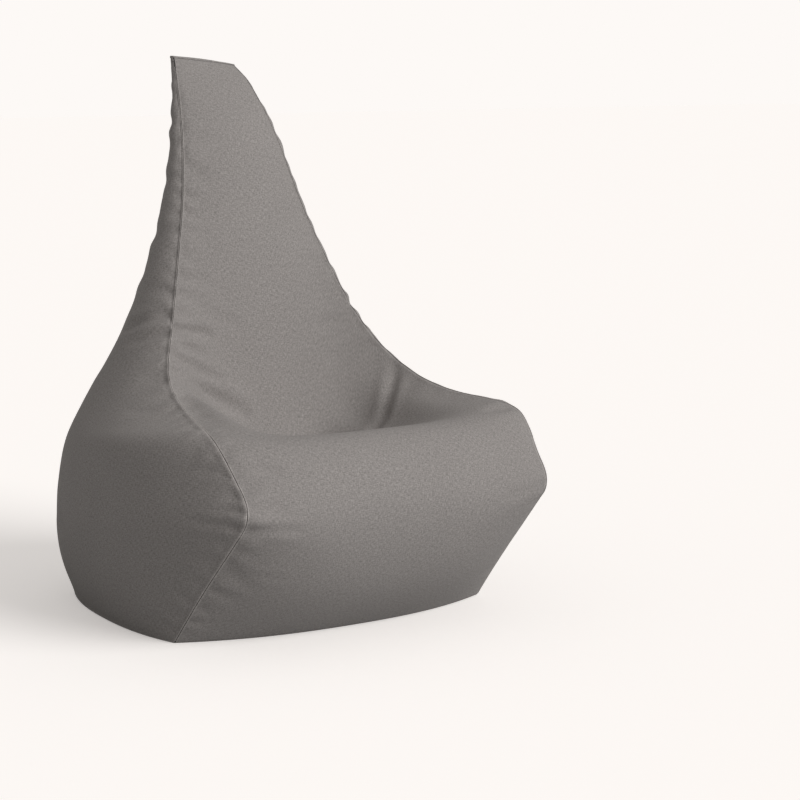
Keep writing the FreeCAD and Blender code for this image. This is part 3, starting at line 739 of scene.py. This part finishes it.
def furrow(across):
    """A fold's cross section: a valley between two low ridges."""
    ridges = np.exp(-((np.abs(across) - FURROW_RIDGE_AT) / FURROW_RIDGE_WIDTH) ** 2)
    return -np.exp(-across**2) + FURROW_RIDGE * ridges


levels_at, levels = zip(*PUCKER_LEVELS)
for pair, chain in seams.items():
    line = np.array([v.co for v in chain])
    along = np.concatenate([[0], np.cumsum(np.linalg.norm(np.diff(line, axis=0), axis=1))])
    tangent = np.gradient(line, axis=0)
    tangent /= np.linalg.norm(tangent, axis=1)[:, None]
    finder = KDTree(len(chain))
    for k, point in enumerate(line):
        finder.insert(point, k)
    finder.balance()
    marks = np.cumsum(rng.uniform(*STEP_VARIES, MOST_PUCKERS)) * PUCKER_STEP
    marks = marks[marks < along[-1] - LAST_PUCKER]
    for name in pair:
        members = of_panel[name]
        nearest = [finder.find(places[k])[1] for k in members]
        from_seam = places[members] - line[nearest]
        past = along[nearest] + (from_seam * tangent[nearest]).sum(1)
        away = np.linalg.norm(from_seam, axis=1)
        lift[members] -= SEAM_PULL * np.exp(-((away / SEAM_PULL_REACH) ** 2)) * (away > 0)
        for mark in marks:
            level = np.interp(np.interp(mark, along, line[:, 2]), levels_at, levels)
            strength = SEAM_EASE.get(pair, 1.0) * level * rng.uniform(*PUCKER_STRENGTH)
            reach, half = rng.uniform(*PUCKER_REACH), rng.uniform(*PUCKER_HALF_WIDTH)
            slant = rng.uniform(*PUCKER_SLANT)
            share = np.clip(away / reach, 0, 1)
            fade = np.clip(away / PUCKER_STARTS, 0, 1) * (1 - share) ** 2 * (1 + 2 * share)
            section = furrow((past - mark - slant * away) / (half * (1 + share)))
            lift[members] += PUCKER_DEEP[name] * strength * fade * section
seam_index = sorted({v.index for chain in seams.values() for v in chain})
lift[seam_index] = 0
print("gathers from", round(lift.min() / MM, 1), "to", round(lift.max() / MM, 1), "mm")

# %% [markdown]
# ### Long folds
# The longer folds are where the cloth has been pushed together: beside the waist, behind each arm,
# and across the side panels. Where they lie is a matter of how this bag has been sat in, so they
# are listed one by one, each with its ends, depth and half width.

# %% Long folds
FOLD_DEEPENED = 2.5
FOLD_END = 0.25  # how much of a fold's depth is left at its ends
FOLD_RUNS_OUT = 1.5  # half widths past its ends
BASE_FADE, TOP_FADE = 0.03, 0.07  # gathers and folds fade this near the base and the top, in metres
TOP_FLAT = 0.01
ZIP_SMOOTH = 0.035
FOLDS = [  # panel, start, end in mm, depth in mm, half width in mm
    ("front", (-217, 38, 570), (-130, 50, 550), 5.0, 9),
    ("front", (-222, 24, 540), (-150, 42, 512), 2.8, 8),
    ("front", (-228, 12, 515), (-120, 28, 458), 5.0, 11),
    ("front", (-196, 16, 462), (-70, 6, 392), 7.0, 15),
    ("front", (-180, 80, 655), (-110, 78, 650), 1.6, 10),
    ("front", (-150, 48, 610), (-60, 40, 560), 1.6, 13),
    ("front", (264, -40, 462), (198, -100, 376), 4.6, 12),
    ("front", (198, -100, 376), (110, -130, 330), 3.0, 13),
    ("front", (215, 36, 570), (130, 50, 548), 3.0, 10),
    ("front", (228, 12, 512), (150, 28, 470), 3.0, 11),
    ("front", (280, -345, 412), (330, -338, 412), 3.6, 13),
    ("front", (-346, -374, 364), (-262, -432, 354), 3.4, 10),
    ("front", (-312, -310, 420), (-236, -372, 396), 1.8, 12),
    ("front", (-338, -430, 300), (-270, -452, 292), 2.0, 10),
    ("front", (-336, -440, 258), (-236, -455, 248), 2.8, 9),
    ("front", (-315, -395, 150), (-245, -410, 140), 2.0, 11),
    ("front", (330, -436, 270), (240, -455, 262), 2.4, 10),
    ("left", (-214, 46, 590), (-262, 164, 562), 5.0, 11),
    ("left", (-228, 40, 556), (-280, 112, 536), 3.0, 9),
    ("left", (-376, -325, 348), (-356, -380, 362), 2.8, 9),
    ("left", (-392, -345, 264), (-348, -436, 262), 3.4, 8),
    ("left", (-384, -290, 190), (-350, -360, 196), 2.2, 10),
    ("left", (-330, -90, 430), (-352, -30, 418), 1.6, 14),
    ("right", (212, 48, 592), (264, 150, 570), 4.0, 11),
    ("right", (230, 38, 550), (276, 112, 532), 2.8, 10),
    ("right", (388, -340, 268), (352, -426, 270), 3.0, 9),
    ("right", (372, -350, 340), (356, -402, 346), 2.4, 10),
    ("back", (-214, 256, 545), (-90, 312, 520), 2.6, 12),
    ("back", (214, 256, 552), (110, 306, 535), 2.4, 11),
    ("back", (-250, 280, 470), (-120, 350, 455), 2.0, 13),
    ("back", (245, 280, 462), (140, 340, 448), 2.2, 12),
]

for name, start, end, depth, half in FOLDS:
    members = of_panel[name]
    start, end = np.array(start) * MM, np.array(end) * MM
    run = end - start
    length = np.linalg.norm(run)
    run /= length
    offset = places[members] - start
    past = offset @ run
    along = np.clip(past, 0, length)
    beyond = np.maximum(np.maximum(-past, past - length), 0)
    across = np.linalg.norm(offset - along[:, None] * run, axis=1) / (half * MM)
    taper = np.clip((along / length + FOLD_END) * (1 + FOLD_END - along / length), 0, 1)
    ends = np.exp(-((beyond / (FOLD_RUNS_OUT * half * MM)) ** 2))
    lift[members] += FOLD_DEEPENED * depth * MM * taper * furrow(across) * ends
lift *= 1 - near_zip(places, ZIP_SMOOTH)
lift *= np.clip(places[:, 2] / BASE_FADE, 0, 1)
lift *= np.clip((high.z - TOP_FLAT - places[:, 2]) / TOP_FADE, 0, 1)
for vert, out, far in zip(fine.verts, normals, lift):
    vert.co += Vector(out) * far
print("gathers and folds from", round(lift.min() / MM, 1), "to", round(lift.max() / MM, 1), "mm")

# %% [markdown]
# ### Round the zip
# The back cover laps over the zip's tapes, so it takes the zip's own curve there, a little outside
# them. Points near the zip are moved along their radius, less and less with distance.

# %% Lay the cover over the zip
LAP_OVER = 0.7 * MM  # over the tapes
LAP_RADIUS = ZIP_RADIUS + LAP_OVER
LAP_MARGIN = 0.03

for vert, share in zip(fine.verts, near_zip(np.array([v.co for v in fine.verts]), LAP_MARGIN)):
    if share > 0:
        flat = Vector((vert.co.x, vert.co.y - ZIP_Y))
        flat *= 1 + (LAP_RADIUS / flat.length - 1) * share * share * (3 - 2 * share)
        vert.co.x, vert.co.y = flat.x, flat.y + ZIP_Y
fine.normal_update()
for vert in fine.verts:
    vert[out_layer] = vert.normal
print("the cover lies", round(LAP_OVER / MM, 1), "mm over the tapes")

# %% [markdown]
# ## The pieces of the cover
# A seam is made with the panels face to face and then turned out, so each panel's edge rolls in
# towards the seam and the seam itself lies in a narrow groove. The side panels' edges stand a
# little proud, where the seam's allowance is pressed to their side. The edges are extruded inwards
# in three steps, which costs few faces and gives the groove real depth. At the zip the edge is
# folded back under the panel, as a hem.

# %% One panel, and the zip's opening in it
HEM_AT = 0.0095  # half the height of the zip's opening
WINDOW_NEAR = 0.03  # faces this near the zip's line are cut
WINDOW_PAST = 0.02  # and this far past its ends
SLACK = 1e-4


def copy_of_panel(source, name):
    """The faces of one panel, as a mesh of their own."""
    panel = source.copy()
    layer = panel.loops.layers.uv["cloth"]
    others = [f for f in panel.faces if PANELS[panel_of(f, layer)] != name]
    bmesh.ops.delete(panel, geom=others, context="FACES")
    return panel


def open_window(panel):
    """Cut the zip's opening out of the back panel. Gives the vertices round it."""
    edge_x = ZIP_RADIUS * math.sin(ZIP_REACH / ZIP_RADIUS)
    planes = [((0, 0, ZIP_Z + s * HEM_AT), (0, 0, s)) for s in (-1, 1)]
    planes += [((s * edge_x, 0, 0), (s, 0, 0)) for s in (-1, 1)]
    for at, normal in planes:
        near = [f for f in panel.faces if abs(f.calc_center_median().z - ZIP_Z) < WINDOW_NEAR
                and abs(f.calc_center_median().x) < edge_x + WINDOW_PAST]
        geom = list({g for f in near for g in (f, *f.edges, *f.verts)})
        bmesh.ops.bisect_plane(panel, geom=geom, plane_co=at, plane_no=normal, dist=1e-6)
    inside = [f for f in panel.faces if abs(f.calc_center_median().z - ZIP_Z) < HEM_AT
              and abs(f.calc_center_median().x) < edge_x]
    bmesh.ops.delete(panel, geom=inside, context="FACES")
    return {v for v in panel.verts if v.is_boundary and abs(v.co.z - ZIP_Z) < HEM_AT + SLACK
            and abs(v.co.x) < edge_x + SLACK}


print("the opening is", round(2 * HEM_AT / MM), "mm high and", round(2 * ZIP_REACH / MM), "mm long")

# %% Turn in a panel's edges
SEAM_GAP = 1.9 * MM
BASE_GAP, BASE_RIM = 3.0 * MM, 0.001  # the setback at the base, and how near the floor that is
TOP_GAP, TOP_RIM = 4.0 * MM, 0.02
LIP = {"front": 0.1 * MM, "back": 0.1 * MM, "left": 1.2 * MM, "right": 1.2 * MM}
ROLLED = [(-0.9, -0.5), (-1.35, -1.4), (-1.4, -4.0)]  # in mm, into the panel and outwards
HEMMED = [(-0.8, -0.2), (-0.6, -0.4), (3.5, -0.45)]


def grown_from(vert, fresh):
    """The older vertex that an extrusion drew this one from."""
    return next(e.other_vert(vert) for e in vert.link_edges if e.other_vert(vert) not in fresh)


def turn_in(panel, name, window):
    """Set a panel's edges back from its seams and roll them in, or hem them round the window."""
    uv, out = panel.loops.layers.uv["cloth"], panel.verts.layers.float_vector["out"]
    painted_highlight = panel.verts.layers.float["painted_highlight"]
    rim = [v for v in panel.verts if v.is_boundary]
    into, spot, start = {}, {}, {}
    for vert in rim:
        middles = [f.calc_center_median() for f in vert.link_faces]
        into[vert] = (sum(middles, Vector()) / len(middles) - vert.co).normalized()
        spot[vert] = next(loop[uv].uv.copy() for loop in vert.link_loops)
    for vert in rim:
        gap = SEAM_GAP
        if vert in window:
            gap = 0
        elif vert.co.z < BASE_RIM:
            gap = BASE_GAP
        elif vert.co.z > high.z - TOP_RIM:
            gap = TOP_GAP
        lip = 0 if vert in window else LIP[name]
        vert.co += into[vert] * gap + vert[out] * lip
        # The rim gets the painted highlight, which draws it paler; the zip's hem doesn't.
        vert[painted_highlight] = 0.0 if vert in window else 1.0
        start[vert] = vert
    edges = [e for e in panel.edges if e.is_boundary]
    origin = {v: (v.co.copy(), into[v], Vector(v[out]), HEMMED if v in window else ROLLED) for v in rim}
    for step in range(len(ROLLED)):
        made = bmesh.ops.extrude_edge_only(panel, edges=edges)["geom"]
        fresh = {g for g in made if isinstance(g, bmesh.types.BMVert)}
        edges = [g for g in made if isinstance(g, bmesh.types.BMEdge) and g.is_boundary]
        for vert in fresh:
            start[vert] = start[grown_from(vert, fresh)]
            at, inwards, outwards, steps = origin[start[vert]]
            towards, up = steps[step]
            vert.co = at + inwards * towards * MM + outwards * up * MM
            # The first rolled step gets the painted highlight as well.
            vert[painted_highlight] = 1.0 if step == 0 and steps is ROLLED else 0.0
        for face in (g for g in made if isinstance(g, bmesh.types.BMFace)):
            face.smooth = True
            for loop in face.loops:
                loop[uv].uv = spot[start[loop.vert]]


# %% Make the cover's panels
def make_piece(name, bm, material, nodes, body="bag"):
    """Make a mesh into a piece that rides on a body and stands for CAD nodes."""
    mesh = bpy.data.meshes.new(name)
    bm.to_mesh(mesh)
    bm.free()
    mesh.materials.append(material)
    piece = bpy.data.objects.new(name, mesh)
    scene.collection.objects.link(piece)
    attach(piece, body)
    if nodes:
        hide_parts(*nodes)
    print(name, len(mesh.polygons), "faces for", ", ".join(nodes) or "no CAD part")
    return piece


COVER_NODES = {
    "front": "cover_front_panel", "back": "cover_back_panel",
    "left": "cover_left_side_panel", "right": "cover_right_side_panel",
}
for name, node in COVER_NODES.items():
    panel = copy_of_panel(fine, name)
    window = open_window(panel) if name == "back" else set()
    turn_in(panel, name, window)
    make_piece("cover_" + name, panel, canvas, [node])

# %% [markdown]
# ## Seams
# What shows in a seam's groove is the folded allowance, a narrow strip of the same canvas pulled
# tight by the thread, coloured near black as painted shade. It's made by drawing a small rectangle
# along the seam. A curve with a bevel would turn with the curve. Here the bar's sides follow the
# cloth instead.


# %% Seams
def draw_along(line, outwards, sideways, profile):
    """A bar along a line. The profile's corners are given sideways and outwards, in mm."""
    bm = bmesh.new()
    bm.loops.layers.uv.new("cloth")
    first = [bm.verts.new(p) for p in line]
    place = {v: k for k, v in enumerate(first)}
    edges = [bm.edges.new(pair) for pair in zip(first, first[1:])]
    for vert, k in place.items():
        vert.co += Vector(sideways[k]) * profile[0][0] * MM + Vector(outwards[k]) * profile[0][1] * MM
    for side, up in profile[1:] + profile[:1]:
        made = bmesh.ops.extrude_edge_only(bm, edges=edges)["geom"]
        fresh = {g for g in made if isinstance(g, bmesh.types.BMVert)}
        edges = [g for g in made if isinstance(g, bmesh.types.BMEdge) and all(v in fresh for v in g.verts)]
        for vert in fresh:
            place[vert] = place[grown_from(vert, fresh)]
            k = place[vert]
            vert.co = Vector(line[k]) + Vector(sideways[k]) * side * MM + Vector(outwards[k]) * up * MM
    bmesh.ops.remove_doubles(bm, verts=bm.verts, dist=1e-6)
    bmesh.ops.holes_fill(bm, edges=[e for e in bm.edges if e.is_boundary], sides=0)
    bmesh.ops.recalc_face_normals(bm, faces=bm.faces)
    for face in bm.faces:
        face.smooth = True
    return bm


SEAM_BAR = [(-0.9, -1.1), (0.9, -1.1), (0.9, -4.2), (-0.9, -4.2)]
BASE_BAR = [(-0.45, -1.4), (0.45, -1.4), (0.45, -4.5), (-0.45, -4.5)]
BASE_BAR_AT = 2.1 * MM
BAR_ENDS = slice(1, -2)  # a seam's bar stops short of the base and of the binding

for pair, chain in seams.items():
    line = np.array([v.co for v in chain])
    outwards = np.array([v[out_layer] for v in chain])
    sideways = np.cross(np.gradient(line, axis=0), outwards)
    sideways /= np.linalg.norm(sideways, axis=1)[:, None]
    name = "seam_" + ("front_" if "front" in pair else "rear_") + ("left" if "left" in pair else "right")
    bar = draw_along(line[BAR_ENDS], outwards[BAR_ENDS], sideways[BAR_ENDS], SEAM_BAR)
    # The bar's canvas is painted dark, as painted shade in the groove.
    make_piece(name + "_fold", bar, seam_shade_canvas, [name])

rim = [e for e in fine.edges if e.is_boundary]
bottom = [e for e in rim if e.verts[0].co.z < 0.5 * high.z]
top = [e for e in rim if e.verts[0].co.z > 0.5 * high.z]
for name in PANELS:
    edges = [e for e in bottom if PANELS[panel_of(e.link_faces[0], fine_uv)] == name]
    chain = in_order(edges)
    line = np.array([v.co for v in chain])
    line[:, 2] = BASE_BAR_AT
    outwards = np.array([v[out_layer] for v in chain]) * (1, 1, 0)
    outwards /= np.linalg.norm(outwards, axis=1)[:, None]
    sideways = np.tile((0.0, 0.0, 1.0), (len(chain), 1))
    node = "seam_base_" + {"back": "rear"}.get(name, name)
    bar = draw_along(line, outwards, sideways, BASE_BAR)
    # The base bar's canvas is painted dark too, as painted shade in the groove.
    make_piece(node + "_fold", bar, seam_shade_canvas, [node])


# %% [markdown]
# ## Base
# The base is one flat panel, which the beads press on the floor. Its outline is the bottom edge of
# the sewn bag, so it fits however the bag has settled.


# %% Base
def round_loop(edges):
    """The vertices round a closed loop of edges, in order."""
    ends = edges_by_vertex(edges)
    first = edges[0].verts[0]
    chain, last = [first], edges[0]
    while True:
        ahead = last.other_vert(chain[-1])
        if ahead is first:
            return chain
        chain.append(ahead)
        last = next(e for e in ends[ahead] if e is not last)


def flat_uv(bm, offset):
    """Lay the weave flat over a mesh, from above."""
    layer = bm.loops.layers.uv["cloth"]
    for face in bm.faces:
        for loop in face.loops:
            loop[layer].uv = loop.vert.co.x + offset, loop.vert.co.y


BASE_INSET = 1.6 * MM
BASE_THICK = 1.5 * MM

base = bmesh.new()
base.loops.layers.uv.new("cloth")
corners = []
for vert in round_loop(bottom):
    outwards = Vector((vert[out_layer].x, vert[out_layer].y, 0)).normalized()
    corners.append(base.verts.new(vert.co - outwards * BASE_INSET))
sole = base.faces.new(corners)
sole.normal_update()
if sole.normal.z > 0:
    sole.normal_flip()
upper = bmesh.ops.extrude_face_region(base, geom=[sole])["geom"]
upper_verts = [g for g in upper if isinstance(g, bmesh.types.BMVert)]
bmesh.ops.translate(base, verts=upper_verts, vec=(0, 0, BASE_THICK))
bmesh.ops.recalc_face_normals(base, faces=base.faces)
bmesh.ops.triangulate(base, faces=[f for f in base.faces if len(f.verts) > 4])
flat_uv(base, 4.0)
make_piece("cover_base", base, canvas, ["cover_base_panel"])

# %% [markdown]
# ## Top binding
# The bag's top is closed by a narrow folded strip, sewn over the raw edges of all four panels. It
# is built as rings round the top edge that are bridged, from below its lip to the fold.

# %% Top binding
BINDING = [(5.0, 0.9), (2.6, 1.1), (0.8, 0.8), (0.0, 0.1)]  # below the top and outwards, in mm
BINDING_FOLD = 1.5 * MM

binding = bmesh.new()
binding_uv = binding.loops.layers.uv.new("cloth")
loop = round_loop(top)
inner = {v: next(e.other_vert(v) for e in v.link_edges if not e.is_boundary) for v in loop}
down = {v: (inner[v].co - v.co).normalized() for v in loop}
rings = []
for below, outwards in BINDING:
    spots = [v.co + down[v] * below * MM + v[out_layer] * outwards * MM for v in loop]
    rings.append([binding.verts.new(spot) for spot in spots])
loops = [[binding.edges.new((ring[k - 1], ring[k])) for k in range(len(ring))] for ring in rings]
for lower, upper in zip(loops, loops[1:]):
    bmesh.ops.bridge_loops(binding, edges=lower + upper)
lid = bmesh.ops.contextual_create(binding, geom=loops[-1])["faces"]
bmesh.ops.inset_region(binding, faces=lid, thickness=BINDING_FOLD, depth=0)
bmesh.ops.triangulate(binding, faces=[f for f in binding.faces if len(f.verts) > 4])
bmesh.ops.recalc_face_normals(binding, faces=binding.faces)
for face in binding.faces:
    face.smooth = True
    for corner in face.loops:
        corner[binding_uv].uv = corner.vert.co.x + 5.0, corner.vert.co.z
make_piece("top_binding", binding, canvas, ["cover_top_binding"])

# %% [markdown]
# ## Stitching round the zip
# Two rows of short stitches hold the cover to the tapes. Each stitch is a small rounded bead of
# thread, stretched along the row and pressed into the cloth. A bump in the cloth's material would
# be lighter to compute, but it would have no edge and cast no shadow.

# %% Zip stitching
STITCH, STITCH_STEP, THREAD = 3.6 * MM, 4.8 * MM, 1.1 * MM  # long, apart, thick
STITCH_ROWS = (3.0 * MM, 9.0 * MM)  # outside the edge of the opening
STITCH_OUT = 0.1 * MM

stitches = bmesh.new()


def stitch(s, w, turned):
    """One stitch at s along the zip and w above it, lying along it or across it."""
    angle = s / ZIP_RADIUS
    out = Vector((math.sin(angle), math.cos(angle), 0))
    tangent, up = Vector((math.cos(angle), -math.sin(angle), 0)), Vector((0, 0, 1))
    made = bmesh.ops.create_uvsphere(stitches, u_segments=8, v_segments=5, radius=0.5)["verts"]
    length = (up, tangent) if turned else (tangent, up)
    centre = out * (LAP_RADIUS + STITCH_OUT) + Vector((0, ZIP_Y, ZIP_Z + w))
    for vert in made:
        x, y, z = vert.co
        vert.co = centre + length[0] * z * STITCH + length[1] * x * THREAD + out * y * THREAD


for row in STITCH_ROWS:
    half_long, half_high = ZIP_REACH + row, HEM_AT + row
    count = int(2 * half_long / STITCH_STEP)
    for k in range(count):
        for side in (-1, 1):
            stitch((k - (count - 1) / 2) * STITCH_STEP, side * half_high, False)
    count = int(2 * half_high / STITCH_STEP)
    for k in range(count):
        for side in (-1, 1):
            stitch(side * half_long, (k - (count - 1) / 2) * STITCH_STEP, True)
bmesh.ops.recalc_face_normals(stitches, faces=stitches.faces)
for face in stitches.faces:
    face.smooth = True
make_piece("zip_stitching", stitches, thread, [])

# %% [markdown]
# ## Liner and beads
# The beads are in a thin liner of their own, so that the cover comes off for washing. Both follow
# the settled bag, a little inside it. The cover hides them, so they take the coarser mesh from
# before the folds, and step in by as much as the deepest fold nearby.

# %% Shrink the bag for what is inside it
FOLD_REACH = 16 * MM  # the liner stays clear of folds this near

beside = KDTree(len(places))
for k, place in enumerate(places):
    beside.insert(place, k)
beside.balance()


def shrink_bag(inwards, top_at, floor_at):
    """A copy of the settled bag, a little inside it and its folds, cut off below the narrow top."""
    inner = bag.copy()
    inner.normal_update()
    steps = []
    for vert in inner.verts:
        deepest = min((lift[k] for _, k, _ in beside.find_range(vert.co, FOLD_REACH)), default=0.0)
        steps.append((vert, vert.normal * (inwards + max(0.0, -deepest))))
    for vert, step in steps:
        vert.co -= step
        vert.co.z = max(vert.co.z, floor_at)
    geom = inner.verts[:] + inner.edges[:] + inner.faces[:]
    bmesh.ops.bisect_plane(inner, geom=geom, plane_co=(0, 0, top_at), plane_no=(0, 0, 1), clear_outer=True)
    return inner


def end_edges(bm, at_top):
    """The edges round the open top or the open bottom."""
    return [e for e in bm.edges if e.is_boundary and (e.verts[0].co.z > 0.5 * high.z) == at_top]


def close(bm, at_top):
    """A flat face over the open top or bottom. Gives a mesh of it alone, and leaves bm as it is."""
    cap = bm.copy()
    ends = end_edges(cap, at_top)
    bmesh.ops.delete(cap, geom=cap.faces[:], context="FACES_ONLY")
    kept = {v.index for e in ends for v in e.verts}
    bmesh.ops.delete(cap, geom=[v for v in cap.verts if v.index not in kept], context="VERTS")
    bmesh.ops.contextual_create(cap, geom=cap.edges[:])
    bmesh.ops.triangulate(cap, faces=cap.faces[:])
    flat_uv(cap, 6.0)
    return cap


# %% Liner
LINER_IN, LINER_TOP, LINER_FLOOR = 9 * MM, 0.94 * high.z, 4 * MM
liner = shrink_bag(LINER_IN, LINER_TOP, LINER_FLOOR)
liner_parts = {name: copy_of_panel(liner, name) for name in PANELS}
for name, part in liner_parts.items():
    make_piece("liner_" + name, part, liner_cloth, ["liner_" + name + "_panel"])
for name, at_top in (("base", False), ("top", True)):
    part = close(liner, at_top)
    make_piece("liner_" + name, part, liner_cloth, ["liner_" + name + "_panel"])

# %% [markdown]
# Millions of loose beads act as one soft mass, so they're one closed body, and the material gives
# it the beads' round bumps.

# %% Beads
BEADS_IN, BEADS_TOP, BEADS_FLOOR = 11 * MM, 0.925 * high.z, 5.5 * MM

beads = shrink_bag(BEADS_IN, BEADS_TOP, BEADS_FLOOR)
for at_top in (False, True):
    bmesh.ops.contextual_create(beads, geom=end_edges(beads, at_top))
bmesh.ops.triangulate(beads, faces=[f for f in beads.faces if len(f.verts) > 4])
bmesh.ops.recalc_face_normals(beads, faces=beads.faces)
make_piece("bead_mass", beads, bead_foam, ["bead_fill"])

# %% [markdown]
# ## The zips
# The zips are hard parts whose CAD shapes are right, so they stay and only get their materials.

# %% Materials of the zips
ZIP_MATERIALS = {"tape": tape, "teeth": plastic, "stops": plastic, "slider": metal, "tab": metal}
for name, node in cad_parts.items():
    kind = name.split("_")[-1]
    if "_zip_" in name:
        node.data.materials.clear()
        node.data.materials.append(ZIP_MATERIALS[kind])
print(sum("_zip_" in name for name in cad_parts), "zip parts keep their CAD shapes")
